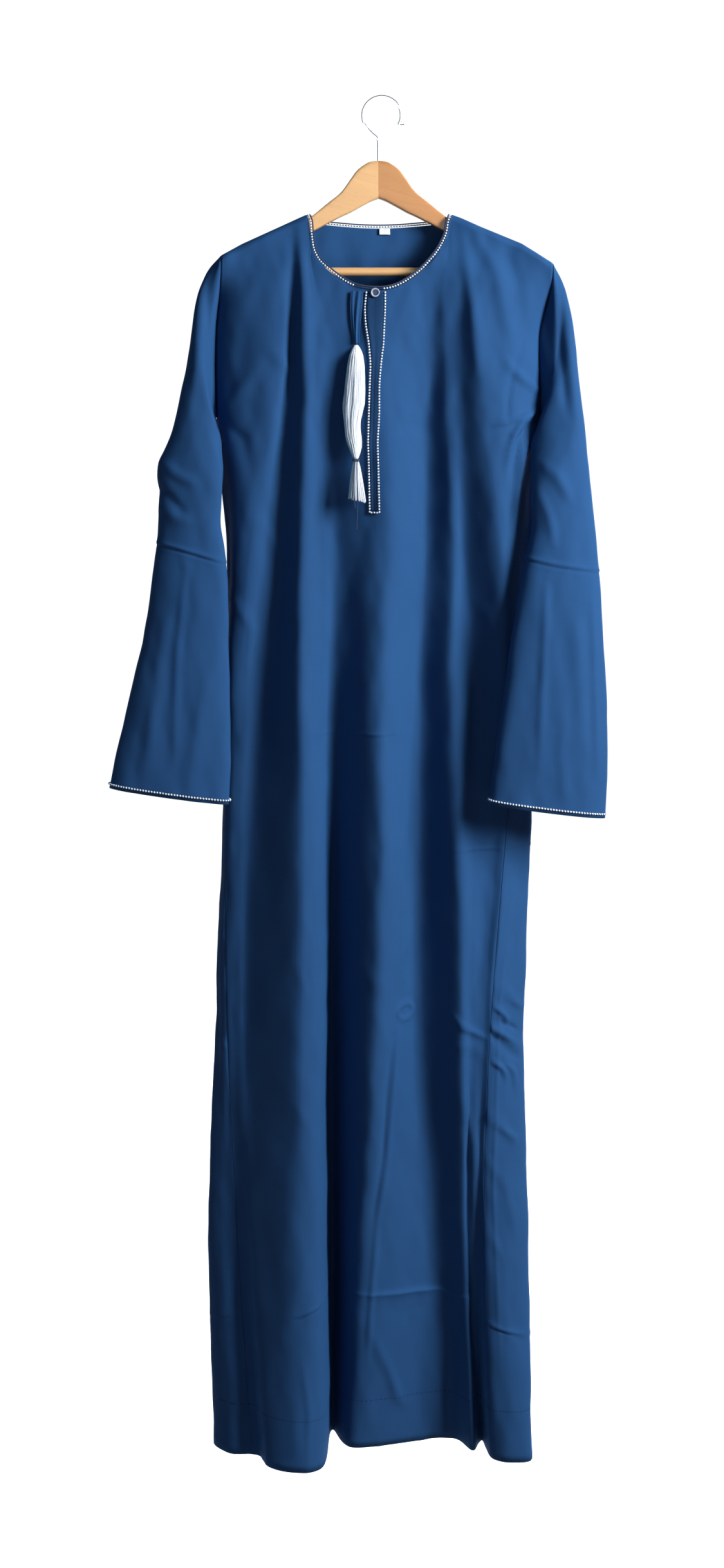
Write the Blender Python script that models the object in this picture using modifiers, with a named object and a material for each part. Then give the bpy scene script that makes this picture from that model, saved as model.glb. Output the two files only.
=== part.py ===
"""Long collarless robe hanging on a wooden clothes hanger.

The cloth is cut as a front, a back and two sleeves. Each is an open wall worked
out from level sections through its folds. X runs across the robe, Z is up, and
the front faces -Y. The origin is the inside top of the hanger's hook.
Sizes are in millimetres and become metres when a mesh is made.
"""
import math

import bmesh
import bpy
import numpy as np
from mathutils import Matrix, Vector
from mathutils.bvhtree import BVHTree

MM = 0.001
WALL = 2.0
SEAM = 0.3
NECK_Z = -141.0
UNDERARM_Z = -383.0
HEM_Z = -1607.0
RIDGE_ROLL = 10.5
RIDGE_SEAM = 0.5
RIDGE_DEPTH = 9.0
BAR_RADIUS = 5.2
BAR_Z = -209.0
ARM_END = 176.0
BAR_HALF = 163.6
HOOK_WIRE = 1.6
CORD_RADIUS = 1.1
LIP_RADIUS = 0.8
BAND_WALL = 1.0
TAB_WALL = 1.2
TAB_LIFT = WALL / 2 + 0.5 + TAB_WALL / 2
TAB_TOP_Z = -236.0
TAB_END_Z = -296.5

# Heights of the level sections: shoulder, chest, underarm, waist, hip, thigh,
# knee, shin and hem.
STATIONS = (-189, -253, -383, -537, -691, -884, -1115, -1346, -1607)

# Folds of the front: sideways place and depth at each station, left to right.
FRONT_FOLDS = {
    "seam_l": ((-187, -192, -192, -178, -181, -183, -180, -168, -149),
               (-8, -4, -2, 2, 1, -4, -11, -17, -32)),
    "turn_l": ((-165, -171, -173, -171, -176, -176, -172, -160, -140),
               (-20, -20, -20, -12, -8, -10, -14, -21, -36)),
    "crest_a": ((-128, -113, -123, -151, -163, -165, -164, -154, -135),
                (-22, -30, -30, -20, -12, -12, -17, -27, -47)),
    "valley_a": ((-104, -100, -110, -118, -131, -151, -156, -147, -128),
                 (-22, -27, -20, -8, -4, -10, -18, -36, -62)),
    "crest_b": ((-87, -85, -86, -91, -92, -90, -92, -93, -92),
                (-22, -34, -38, -34, -40, -50, -58, -66, -76)),
    "edge_b": ((-75, -71, -74, -67, -67, -68, -68, -68, -67),
               (-22, -32, -33, -22, -24, -36, -46, -56, -66)),
    "valley_b": ((-52, -50, -56, -52, -52, -55, -57, -56, -55),
                 (-24, -31, -28, -16, -8, -2, 6, 16, 28)),
    "crest_c": ((2, 2, 9, 11, 3, 3, -4, -17, -33),
                (-26, -33, -36, -36, -42, -50, -50, -38, -14)),
    "valley_c": ((55, 63, 61, 58, 53, 51, 55, 69, 90),
                 (-24, -22, -10, -4, -2, -6, -10, -4, 7)),
    "crest_d": ((78, 79, 82, 89, 87, 94, 98, 102, 112),
                (-22, -26, -22, -20, -24, -38, -42, -26, -23)),
    "valley_d": ((89, 95, 99, 103, 113, 112, 109, 112, 121),
                 (-22, -24, -15, -8, -8, -34, -38, -20, -8)),
    "crest_e": ((124, 116, 127, 144, 150, 129, 120, 119, 126),
                (-22, -34, -38, -38, -30, -26, -32, -14, 4)),
    "turn_r": ((191, 174, 171, 166, 162, 140, 127, 122, 128),
               (-20, -22, -24, -22, -20, -22, -27, -11, 10)),
    "seam_r": ((207, 194, 192, 178, 167, 150, 132, 126, 132),
               (-8, -4, -2, -6, -8, -18, -22, -7, 13)),
}

# Folds of the back between the side seams, right to left. The strips at its
# two ends wrap round to the front below the hip.
BACK_FOLDS = {
    "rise_r": ((207, 195, 194, 182, 172, 157, 139, 132, 140),
               (-10, 10, 0, -3, -6, -14, -22, -10, 5)),
    "strip_r": ((206, 196, 196, 186, 178, 165, 151, 150, 163),
                (-10, 14, 5, 2, -2, -6, -24, -42, -76)),
    "edge_r": ((201, 194, 196, 193, 187, 182, 174, 177, 179),
               (-6, 18, 14, 12, 8, 6, -2, -16, -52)),
    "turn_br": ((175, 177, 181, 182, 177, 170, 165, 168, 173),
                (6, 24, 27, 28, 26, 28, 30, 24, 6)),
    "crest_1": ((133, 142, 144, 146, 139, 127, 123, 120, 124),
                (8, 24, 32, 38, 42, 46, 50, 56, 60)),
    "valley_1": ((90, 99, 99, 96, 91, 87, 87, 84, 80),
                 (8, 22, 24, 24, 26, 28, 32, 34, 36)),
    "crest_2": ((48, 52, 52, 52, 49, 45, 41, 41, 37),
                (8, 22, 30, 38, 44, 50, 56, 64, 72)),
    "valley_2": ((2, 2, 2, 2, 0, -2, -6, -8, -10),
                 (8, 20, 22, 24, 26, 28, 32, 36, 40)),
    "crest_3": ((-49, -53, -53, -53, -52, -53, -58, -60, -64),
                (8, 22, 30, 38, 46, 52, 58, 66, 76)),
    "valley_3": ((-91, -99, -100, -98, -96, -100, -104, -110, -114),
                 (8, 22, 24, 26, 28, 30, 34, 38, 42)),
    "crest_4": ((-138, -142, -143, -143, -139, -144, -148, -152, -155),
                (8, 24, 32, 36, 42, 46, 50, 56, 62)),
    "turn_bl": ((-172, -179, -185, -173, -174, -179, -185, -188, -182),
                (4, 21, 24, 24, 24, 24, 24, 24, 26)),
    "edge_l": ((-181, -192, -197, -181, -183, -187, -195, -203, -196),
               (-6, 17, 12, 12, 12, 8, 4, 2, -4)),
    "strip_l": ((-185, -194, -197, -181, -182, -186, -188, -188, -173),
                (-10, 13, 4, 7, 7, 2, -4, -12, -30)),
}

# Where each fold starts on the shoulder seam or the neckline: x, z.
FRONT_TOPS = ((-187, -190), (-165, -178), (-124, -159), (-104, -149), (-86, -141),
              (-81, -169), (-58, -208), (1, -233), (62, -198), (82, -164),
              (88, -141), (124, -156), (186, -186), (207, -199))
BACK_TOPS = ((207, -199), (203, -197), (198, -194), (190, -188), (170, -176),
             (125, -157), (88, -141), (45, -150), (1, -155), (-47, -152), (-86, -141),
             (-128, -160), (-162, -176), (-176, -184), (-182, -187), (-187, -190))
FRONT_NECK = (4, 10)
BACK_NECK = (6, 10)

# Neck edge from one shoulder to the other, a row for each column: x, z.
FRONT_NECKLINE = ((-86, -141), (-84, -145), (-82.6, -151), (-81, -169), (-78, -185),
                  (-71, -198), (-62, -207), (-51, -216), (-39, -224), (-26, -230),
                  (-13, -232.5), (1, -233), (14, -231.5), (27, -226.5), (39, -219),
                  (51, -209.5), (61, -199), (70, -188), (77, -176), (82, -164),
                  (84.4, -151), (86, -145), (88, -141))
BACK_NECKLINE = ((88, -141), (85.8, -145.5), (80, -149.5), (63, -151.5), (42, -153.5),
                 (21, -155), (1, -155.5), (-20, -155), (-41, -153.5), (-62, -151.5),
                 (-78, -149.5), (-83.8, -145.5), (-86, -141))

# Columns between one fold and the next.
FRONT_COLUMNS = (3, 3, 2, 3, 3, 4, 5, 5, 3, 2, 3, 4, 3)
BACK_COLUMNS = (3, 2, 2, 2, 3, 3, 3, 3, 3, 3, 3, 2, 2, 2, 3)

# Shares of the way from the top edge down to the underarm.
UPPER_ROWS = (0.0, 0.006, 0.02, 0.05, 0.12, 0.24, 0.40, 0.58, 0.76, 0.91, 1.0)
LOWER_ROWS = 14

# Shoulder ridge over the hanger: x, z.
RIDGE = ((-187, -190), (-162, -176), (-123, -158), (-95, -145), (-86, NECK_Z),
         (88, NECK_Z), (99, -145), (121, -155), (171, -176), (207, -199))

# Sleeve rings below the armhole: outer x, outer z, inner x, inner z, centre y,
# half depth.
SLEEVE_L = (
    (-204, -210, -200, -386, -6, 13),
    (-216, -245, -203, -393, -8, 17),
    (-222, -284, -203, -405, -12, 19),
    (-228, -326, -200, -421, -17, 20),
    (-235, -361, -196, -440, -21, 20),
    (-246, -403, -193, -461, -23, 20),
    (-261, -441, -190, -483, -23, 19),
    (-260, -479, -188, -508, -23, 18),
    (-262, -521, -185, -541, -23, 18),
    (-268, -574, -183, -586, -25, 18),
    (-278, -643, -177, -650, -29, 18),
    (-291, -699, -175, -711, -32, 18),
    (-304, -756, -175, -771, -34, 18),
    (-318, -820, -177, -838, -36, 18),
)
SLEEVE_R = (
    (221, -227, 198, -386, -8, 13),
    (228, -265, 202, -393, -12, 17),
    (233, -303, 202, -407, -16, 20),
    (237, -346, 198, -426, -20, 20),
    (242, -384, 192, -449, -24, 20),
    (246, -426, 186, -475, -28, 20),
    (251, -471, 181, -509, -33, 20),
    (255, -517, 175, -543, -38, 20),
    (259, -570, 166, -585, -42, 20),
    (263, -630, 157, -637, -46, 20),
    (266, -694, 149, -694, -49, 20),
    (267, -754, 141, -750, -52, 20),
    (267, -802, 134, -795, -54, 20),
    (265, -852, 129, -834, -56, 20),
)

# Placket band edges: z, left x, right x.
PLACKET = ((-236, -13, 6), (-254, -15, 6), (-273, -14, 5), (-297, -10, 4),
           (-320, -8, 1), (-346, -9, -1), (-380, -10, -1), (-413, -11, -3),
           (-443, -10, -2), (-494, -9, -1))

# Tassel body: z, half width, half depth. Its top reaches up to the tab's end.
TASSEL_BODY = ((-296.8, 1.5, 0.6), (-299.5, 2.2, 1.1), (-303, 4.0, 2.8),
               (-310, 6.5, 4.5), (-331, 10.4, 5.4),
               (-361, 12.6, 6.2), (-386, 11.3, 6.0), (-404, 9.0, 5.6), (-423, 6.8, 5.0),
               (-429, 4.4, 3.8), (-431.5, 3.0, 3.0), (-435, 3.0, 3.0), (-438, 4.6, 4.0),
               (-444, 6.4, 5.0), (-447, 6.0, 4.6))
TASSEL_X = -26.5
TASSEL_REACH = 13.0
TASSEL_FLUTES = 14
SKIRT_Z = -482.0

# Hanger arm: x, top z, bottom z, half thickness. A top of None follows the
# shoulder ridge.
ARM = ((0.15, -76, -121, 6.5), (8, -76.8, -124, 6.5), (14, -79, -127, 6.5),
       (25, -87, -133, 6.3), (34, -99, -138, 6.2), (45, -114, -143, 6),
       (61, -127, -151, 5.6), (70, -134.5, -156, 5.3), (78, -141, -160, 5.2),
       (84, -145, -163, 5.2), (92, None, -167, 5.2), (123, None, -181, 5.6),
       (150, None, -193, 5.6), (164.0, None, -200, 5.5), (164.3, None, -217, 5.5),
       (172, None, -217, 5.3), (ARM_END, None, -212, 4.4))

CLOTH_BLUE = (0.030, 0.098, 0.245, 1.0)
DEEP_BLUE = (0.012, 0.035, 0.105, 1.0)
WHITE_THREAD = (0.80, 0.79, 0.77, 1.0)
WOOD = (0.70, 0.42, 0.20, 1.0)
STEEL = (0.78, 0.78, 0.80, 1.0)


def clear_scene():
    for thing in list(bpy.data.objects):
        bpy.data.objects.remove(thing, do_unlink=True)


def material(name, color, roughness, metallic=0.0):
    mat = bpy.data.materials.new(name)
    mat.use_nodes = True
    shader = mat.node_tree.nodes["Principled BSDF"]
    shader.inputs["Base Color"].default_value = color
    shader.inputs["Roughness"].default_value = roughness
    shader.inputs["Metallic"].default_value = metallic
    return mat


def smooth(t):
    t = min(max(t, 0.0), 1.0)
    return t * t * (3 - 2 * t)


def along(values, z):
    """Smooth value at height z of what the stations give."""
    depth = -np.array(STATIONS, dtype=float)
    values = np.array(values, dtype=float)
    slope = np.gradient(values, depth)
    d = min(max(-z, depth[0]), depth[-1])
    k = min(max(int(np.searchsorted(depth, d)) - 1, 0), len(depth) - 2)
    h = depth[k + 1] - depth[k]
    t = (d - depth[k]) / h
    start = (2 * t ** 3 - 3 * t ** 2 + 1) * values[k] + (t ** 3 - 2 * t ** 2 + t) * h * slope[k]
    end = (3 * t ** 2 - 2 * t ** 3) * values[k + 1] + (t ** 3 - t ** 2) * h * slope[k + 1]
    return start + end


def fold_spline(points, before, after, counts):
    """Centripetal spline through the fold points, with counts[k] steps between
    point k and the next, and short first and last steps at the seams."""
    pts = [np.array(before, float)] + [np.array(p, float) for p in points]
    pts.append(np.array(after, float))
    out = [pts[1]]
    for k, count in enumerate(counts):
        p0, p1, p2, p3 = pts[k:k + 4]
        t1 = max(np.linalg.norm(p1 - p0), 0.5) ** 0.5
        t2 = t1 + max(np.linalg.norm(p2 - p1), 0.5) ** 0.5
        t3 = t2 + max(np.linalg.norm(p3 - p2), 0.5) ** 0.5
        shares = [(i + 1) / count for i in range(count)]
        if k == 0:
            shares = [0.15] + [0.15 + 0.85 * (i + 1) / (count - 1) for i in range(count - 1)]
        if k == len(counts) - 1:
            shares = [0.85 * (i + 1) / (count - 1) for i in range(count - 1)] + [1.0]
        for share in shares:
            t = t1 + share * (t2 - t1)
            a1 = (t1 - t) / t1 * p0 + t / t1 * p1
            a2 = (t2 - t) / (t2 - t1) * p1 + (t - t1) / (t2 - t1) * p2
            a3 = (t3 - t) / (t3 - t2) * p2 + (t - t2) / (t3 - t2) * p3
            b1 = (t2 - t) / t2 * a1 + t / t2 * a2
            b2 = (t3 - t) / (t3 - t1) * a2 + (t - t1) / (t3 - t1) * a3
            out.append((t2 - t) / (t2 - t1) * b1 + (t - t1) / (t2 - t1) * b2)
    return np.array(out)


def armhole_gap(z):
    """Depth between the front and back edges of the armhole."""
    t = (-190 - z) / (-190 - UNDERARM_Z)
    if t <= 0 or t >= 1:
        return 0.0
    return 17.0 * math.sin(math.pi * t) ** 0.7


def section(z):
    """Front and back section lines at height z, right across each panel."""
    front = [(along(x, z), along(y, z)) for x, y in FRONT_FOLDS.values()]
    back = [(along(x, z), along(y, z)) for x, y in BACK_FOLDS.values()]
    gap = armhole_gap(z)
    seam_r = (front[-1][0], front[-1][1] + gap)
    seam_l = (front[0][0], front[0][1] + gap)
    wrap = 1 - smooth((UNDERARM_Z - z) / 110)
    for side, seam, order in ((back[3], seam_r, (0, 1, 2)), (back[-3], seam_l, (-1, -2))):
        for share, k in zip((0.2, 0.42, 0.68) if len(order) == 3 else (0.3, 0.65), order):
            straight = [seam[i] + share * (side[i] - seam[i]) for i in (0, 1)]
            back[k] = tuple(back[k][i] + wrap * (straight[i] - back[k][i]) for i in (0, 1))
    loop = [seam_r] + back + [seam_l]
    front_line = fold_spline(front, back[-1], back[0], FRONT_COLUMNS)
    back_line = fold_spline(loop, front[-2], front[1], BACK_COLUMNS)
    return front_line, back_line


def ridge_z(x):
    return float(np.interp(x, [p[0] for p in RIDGE], [p[1] for p in RIDGE]))


def ridge_y(x):
    return -8.0 * (min(abs(x), 190.0) / 190.0) ** 2


def top_edge(tops, counts, neck, neckline_points):
    """Points of a panel's top edge, one for each column."""
    first, last = neck
    out = [tops[0]]
    for k, count in enumerate(counts):
        if k == first:
            out += neckline_points[1:]
        if first <= k < last:
            continue
        for i in range(count):
            x = tops[k][0] + (i + 1) / count * (tops[k + 1][0] - tops[k][0])
            out.append((x, ridge_z(x)))
    return out


def panel_grid(index, tops, counts, neck, neckline_points, side):
    """Rows of points of a panel's middle surface, from its top edge to the hem."""
    edge = top_edge(tops, counts, neck, neckline_points)
    columns = len(edge)
    rows = []
    for share in UPPER_ROWS:
        row = []
        for j in range(columns):
            x_top, z_top = edge[j]
            z = z_top + share * (UNDERARM_Z - z_top)
            x_low, y_low = section(z)[index][j] if share > 0.03 else section(z_top)[index][j]
            x = x_top + smooth((z_top - z) / 120) * (x_low - x_top)
            drop = max(ridge_z(x) - z, 0.0)
            t = min(drop / RIDGE_DEPTH, 1.0)
            roll = RIDGE_SEAM + (RIDGE_ROLL - RIDGE_SEAM) * math.sqrt(1 - (1 - t) ** 2)
            y_near = ridge_y(x) + side * roll
            y = y_near + smooth((drop - 5) / 95) * (y_low - y_near)
            row.append((x, y, z))
        rows.append(row)
    for i in range(1, LOWER_ROWS + 1):
        z = UNDERARM_Z + (HEM_Z - UNDERARM_Z) * i / LOWER_ROWS
        line = section(z)[index]
        rows.append([(p[0], p[1], z) for p in line])
    return np.array(rows)


def unit(vector):
    return vector / np.linalg.norm(vector)


def seam_room(run_in, run_out, wall=WALL):
    """Length to take off each side of a seam where the cloth turns, so that the
    inner corners of the two walls stay a seam gap apart."""
    turn = math.acos(min(max(float(np.dot(unit(run_in), unit(run_out))), -1.0), 1.0))
    return SEAM / 2 + math.tan(min(turn, 1.9) / 2) * wall / 2 + 0.02


def open_side_seams(front, back):
    """Part the two panels along both side seams."""
    for row in range(len(UPPER_ROWS) - 1, len(front)):
        for f_end, f_in, b_end, b_in in ((0, 1, -1, -2), (-1, -2, 0, 1)):
            run_in = front[row, f_end] - front[row, f_in]
            run_out = back[row, b_in] - back[row, b_end]
            room = seam_room(run_in, run_out)
            front[row, f_end] -= unit(run_in) * room
            back[row, b_end] += unit(run_out) * room


def armhole_ring(front, back, ends, next_ring):
    """Middle line of the armhole down the front edge and up the back one,
    moved off both edges by the room that the turn into the sleeve needs."""
    last = len(UPPER_ROWS)
    f_end, f_in, b_end, b_in = ends
    out = np.array((math.copysign(1.0, front[0, f_end, 0]), 0, 0))
    edge = [(front[k, f_end], front[k, f_in]) for k in range(last)]
    edge += [(back[k, b_end], back[k, b_in]) for k in range(last - 2, 0, -1)]
    top = (front[0, f_end] + back[0, b_end]) / 2
    edge[0] = (top, (front[0, f_in] + back[0, b_in]) / 2)
    bottom = (front[last - 1, f_end] + back[last - 1, b_end]) / 2 + np.array((0, 0, 2.0))
    edge[last - 1] = (bottom, bottom - out)
    ring = []
    for k, (place, inner) in enumerate(edge):
        run = unit(edge[(k + 1) % len(edge)][0] - edge[k - 1][0])
        run_in = place - inner
        run_in = unit(run_in - run * np.dot(run, run_in))
        run_out = next_ring[k] - place
        run_out = unit(run_out - run * np.dot(run, run_out))
        way = unit(run_in + run_out)
        ring.append(place + way * (2 * seam_room(run_in, run_out) + 0.1))
    return np.array(ring)


def sleeve_rings(table):
    """Rings of a sleeve's middle surface below the armhole, down to the cuff."""
    half_count = len(UPPER_ROWS) - 1
    rings = []
    for x_out, z_out, x_in, z_in, y_mid, half in table:
        ring = []
        for k in range(2 * half_count):
            share = (1 - math.cos(k / half_count * math.pi)) / 2
            side = -1 if k < half_count else 1
            lift = max(0.0, 1 - (2 * share - 1) ** 2) ** 0.4
            x = x_out + share * (x_in - x_out)
            z = z_out + share * (z_in - z_out)
            ring.append((x, y_mid + side * half * lift, z))
        rings.append(np.array(ring))
    return rings


def wall_object(name, grid, closed, mat, collection, thickness=WALL):
    """Open surface from rows of points, given its thickness by Solidify."""
    rows = len(grid)
    columns = len(grid[0])
    verts = [tuple(float(c) * MM for c in p) for row in grid for p in row]
    faces = []
    for i in range(rows - 1):
        for j in range(columns if closed else columns - 1):
            k = (j + 1) % columns
            faces.append((i * columns + j, i * columns + k,
                          (i + 1) * columns + k, (i + 1) * columns + j))
    mesh = bpy.data.meshes.new(name)
    mesh.from_pydata(verts, [], faces)
    mesh.update()
    thing = bpy.data.objects.new(name, mesh)
    collection.objects.link(thing)
    mesh.materials.append(mat)
    mesh.shade_smooth()
    solid = thing.modifiers.new("cloth wall", "SOLIDIFY")
    solid.thickness = thickness * MM
    solid.offset = 0.0
    return thing


def surface_tree(grid):
    columns = len(grid[0])
    verts = [Vector(p) for row in grid for p in row]
    faces = []
    for i in range(len(grid) - 1):
        for j in range(columns - 1):
            a = i * columns + j
            faces.append((a, a + 1, a + columns + 1, a + columns))
    return BVHTree.FromPolygons(verts, faces)


def surface_point(tree, x, z, lift):
    """Point of a panel seen from the front at x, z, moved out by lift."""
    place, normal, _, _ = tree.ray_cast(Vector((x, -400, z)), Vector((0, 1, 0)))
    slope = max(abs(normal.y), 0.5)
    return np.array((x, place.y - lift / slope, z))


def tube_object(name, points, radius, mat, collection, cyclic=False, resolution=1):
    curve = bpy.data.curves.new(name, "CURVE")
    curve.dimensions = "3D"
    curve.bevel_depth = radius * MM
    curve.bevel_resolution = resolution
    curve.use_fill_caps = True
    spline = curve.splines.new("POLY")
    spline.points.add(len(points) - 1)
    for point, place in zip(spline.points, points):
        point.co = (place[0] * MM, place[1] * MM, place[2] * MM, 1)
    spline.use_cyclic_u = cyclic
    thing = bpy.data.objects.new(name, curve)
    collection.objects.link(thing)
    curve.materials.append(mat)
    return thing


def loft_object(name, rings, mat, collection):
    """Closed solid through rings of the same count, capped at both ends."""
    bm = bmesh.new()
    made = [[bm.verts.new(tuple(float(c) * MM for c in p)) for p in ring] for ring in rings]
    for low, high in zip(made, made[1:]):
        for k in range(len(low)):
            n = (k + 1) % len(low)
            bm.faces.new((low[k], low[n], high[n], high[k]))
    bm.faces.new(made[0][::-1])
    bm.faces.new(made[-1])
    bmesh.ops.recalc_face_normals(bm, faces=bm.faces)
    mesh = bpy.data.meshes.new(name)
    bm.to_mesh(mesh)
    bm.free()
    thing = bpy.data.objects.new(name, mesh)
    collection.objects.link(thing)
    mesh.materials.append(mat)
    return thing


def join_union(target, cutter):
    joiner = target.modifiers.new("fused " + cutter.name, "BOOLEAN")
    joiner.operation = "UNION"
    joiner.solver = "EXACT"
    joiner.object = cutter
    cutter.hide_render = True
    cutter.display_type = "WIRE"


def make_cloth(parts, blue):
    front = panel_grid(0, FRONT_TOPS, FRONT_COLUMNS, FRONT_NECK, FRONT_NECKLINE, -1)
    back = panel_grid(1, BACK_TOPS, BACK_COLUMNS, BACK_NECK, BACK_NECKLINE, 1)
    open_side_seams(front, back)
    wall_object("front_panel", front, False, blue, parts)
    wall_object("back_panel", back, False, blue, parts)
    left = sleeve_rings(SLEEVE_L)
    right = sleeve_rings(SLEEVE_R)
    left.insert(0, armhole_ring(front, back, (0, 1, -1, -2), left[0]))
    right.insert(0, armhole_ring(front, back, (-1, -2, 0, 1), right[0]))
    wall_object("sleeve_left", left, True, blue, parts)
    wall_object("sleeve_right", right, True, blue, parts)
    return front, back, left, right


def neckline(front, back):
    """Neck edge as a closed loop, with the way out of the cloth at each point."""
    start, stop = sum(FRONT_COLUMNS[:FRONT_NECK[0]]), sum(FRONT_COLUMNS[:FRONT_NECK[1]])
    front_edge = list(front[0, start:stop + 1])
    start, stop = sum(BACK_COLUMNS[:BACK_NECK[0]]), sum(BACK_COLUMNS[:BACK_NECK[1]])
    back_edge = list(back[0, start:stop + 1])
    corner_l = (front_edge[0] + back_edge[-1]) / 2
    corner_r = (front_edge[-1] + back_edge[0]) / 2
    loop = [corner_l] + front_edge[1:-1] + [corner_r] + back_edge[1:-1]
    aims = [np.array((1, corner_l[1], -120.0))]
    aims += [np.array((1, p[1], -165.0)) for p in front_edge[1:-1]]
    aims += [np.array((1, corner_r[1], -120.0))]
    steep = [-135.0 if k in (0, len(back_edge) - 3) else -60.0
             for k in range(len(back_edge) - 2)]
    aims += [np.array((1, p[1], z)) for p, z in zip(back_edge[1:-1], steep)]
    ways = []
    for k, place in enumerate(loop):
        run = loop[(k + 1) % len(loop)] - loop[k - 1]
        run /= np.linalg.norm(run)
        way = aims[k] - place
        way -= run * np.dot(way, run)
        ways.append(way / np.linalg.norm(way))
    return np.array(loop), np.array(ways)


def make_neck(front, back, parts, white, deep):
    loop, ways = neckline(front, back)
    tube_object("neck_cord", loop + ways * (CORD_RADIUS + 0.7), CORD_RADIUS, white, parts,
                cyclic=True)
    lip_out = 2 * CORD_RADIUS + LIP_RADIUS + 1.1
    tube_object("neck_lip", loop + ways * lip_out, LIP_RADIUS, deep, parts, cyclic=True)


def make_placket(tree, parts, white, deep):
    heights = np.linspace(PLACKET[0][0], PLACKET[-1][0], 19)
    zs = [-p[0] for p in PLACKET]
    left = np.interp(-heights, zs, [p[1] for p in PLACKET])
    right = np.interp(-heights, zs, [p[2] for p in PLACKET])
    lift = WALL / 2 + 0.8 + BAND_WALL / 2
    band = []
    for z, a, b in zip(heights, left, right):
        band.append([surface_point(tree, x, z, lift) for x in (a, (a + b) / 2, b)])
    wall_object("placket_band", band, False, deep, parts, BAND_WALL)
    side = CORD_RADIUS + 0.5
    cord_lift = WALL / 2 + 0.8 + CORD_RADIUS
    path = [(a - side, z) for z, a in zip(heights, left)]
    bottom = heights[-1] - side
    path += [(left[-1] - side, bottom), (right[-1] + side, bottom)]
    path += [(b + side, z) for z, b in zip(heights[::-1], right[::-1])]
    cord = [surface_point(tree, x, z, cord_lift) for x, z in path]
    tube_object("placket_cord", cord, CORD_RADIUS, white, parts)
    centre = surface_point(tree, -4, -236, WALL / 2 + 0.8 + BAND_WALL + 1.0)
    turned_disc("button", 6.0, 2.4, centre, deep, parts)


def turned_disc(name, radius, thick, place, mat, collection):
    """Round button with a sunk middle, its back at place and its face to -Y."""
    profile = ((0.0, thick * 0.6), (radius * 0.55, thick * 0.6), (radius * 0.72, thick),
               (radius * 0.92, thick), (radius, thick * 0.6), (radius * 0.9, 0.0), (0.0, 0.0))
    rings = []
    for r, h in profile:
        rings.append([(place[0] + max(r, 0.05) * math.cos(a), place[1] - h,
                       place[2] + max(r, 0.05) * math.sin(a))
                      for a in np.linspace(0, 2 * math.pi, 20, endpoint=False)])
    return loft_object(name, rings, mat, collection)


def make_tab(tree, parts, blue):
    rows = []
    for t in np.linspace(0, 1, 7):
        z = TAB_TOP_Z + t * (TAB_END_Z - TAB_TOP_Z)
        half = 7.6 - 3.8 * t
        x = -25.0 - 1.5 * t
        rows.append([surface_point(tree, x + s * half, z, TAB_LIFT)
                     for s in (-1, 0, 1)])
    wall_object("tassel_tab", rows, False, blue, parts, TAB_WALL)


def make_tassel(tree, parts, helpers, white, deep):
    nearest = min(surface_point(tree, TASSEL_X + dx, z, 0)[1]
                  for dx in (-12, 0, 12) for z in range(-300, -520, -12))
    y_mid = nearest - WALL / 2 - 0.8 - 7.0
    y_tab = surface_point(tree, TASSEL_X, TAB_END_Z, TAB_LIFT)[1]
    rings = []
    for z, wide, deep_half in TASSEL_BODY:
        y_ring = y_tab + smooth((TAB_END_Z - z) / TASSEL_REACH) * (y_mid - y_tab)
        ring = []
        for k in range(2 * TASSEL_FLUTES):
            a = math.pi * k / TASSEL_FLUTES
            swell = 1.0 if k % 2 else 0.84
            ring.append((TASSEL_X + wide * swell * math.cos(a),
                         y_ring + deep_half * swell * math.sin(a), z))
        rings.append(ring)
    tassel = loft_object("tassel", rings, white, parts)
    for number, (count, root, tip) in enumerate(((16, 0.78, 1.0), (9, 0.38, 0.55))):
        for k in range(count):
            a = 2 * math.pi * (k + 0.5 * number) / count
            strand = []
            for z, grow, half in ((-443, root * 0.98, 0.55), (-462, tip * 1.35, 0.8),
                                  (SKIRT_Z + 2.0 * math.sin(7 * a), tip * 1.75, 1.0)):
                cx = TASSEL_X + 6.2 * grow * math.cos(a)
                cy = y_mid + 3.9 * grow * math.sin(a)
                strand.append([(cx + half * math.cos(a + q), cy + half * math.sin(a + q), z)
                               for q in (0, math.pi / 2, math.pi, 3 * math.pi / 2)])
            helper = loft_object("strand_%d_%02d" % (number, k), strand, white, helpers)
            join_union(tassel, helper)
    bpy.ops.mesh.primitive_torus_add(major_segments=18, minor_segments=6,
                                     major_radius=4.3 * MM, minor_radius=0.8 * MM,
                                     location=(TASSEL_X * MM, y_mid * MM, -433.2 * MM))
    tie = bpy.context.object
    tie.name = "tassel_tie"
    tie.data.materials.append(deep)
    for other in list(tie.users_collection):
        other.objects.unlink(tie)
    parts.objects.link(tie)
    for number, (dx, end) in enumerate(((-1.5, -490), (1.5, -515))):
        tail = [(TASSEL_X + dx, y_mid - 4.4, -433.4), (TASSEL_X + dx * 0.8, y_mid - 6.6, -441),
                (TASSEL_X + dx, y_mid - 9.6, -462), (TASSEL_X + dx * 1.2, y_mid - 11.0, -482),
                (TASSEL_X + dx * 0.5, y_mid - 10.4, end)]
        thread = tube_object("thread_%d" % number, tail, 0.5, deep, helpers)
        solid = curve_to_mesh(thread, helpers)
        join_union(tie, solid)
    return y_mid


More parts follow.
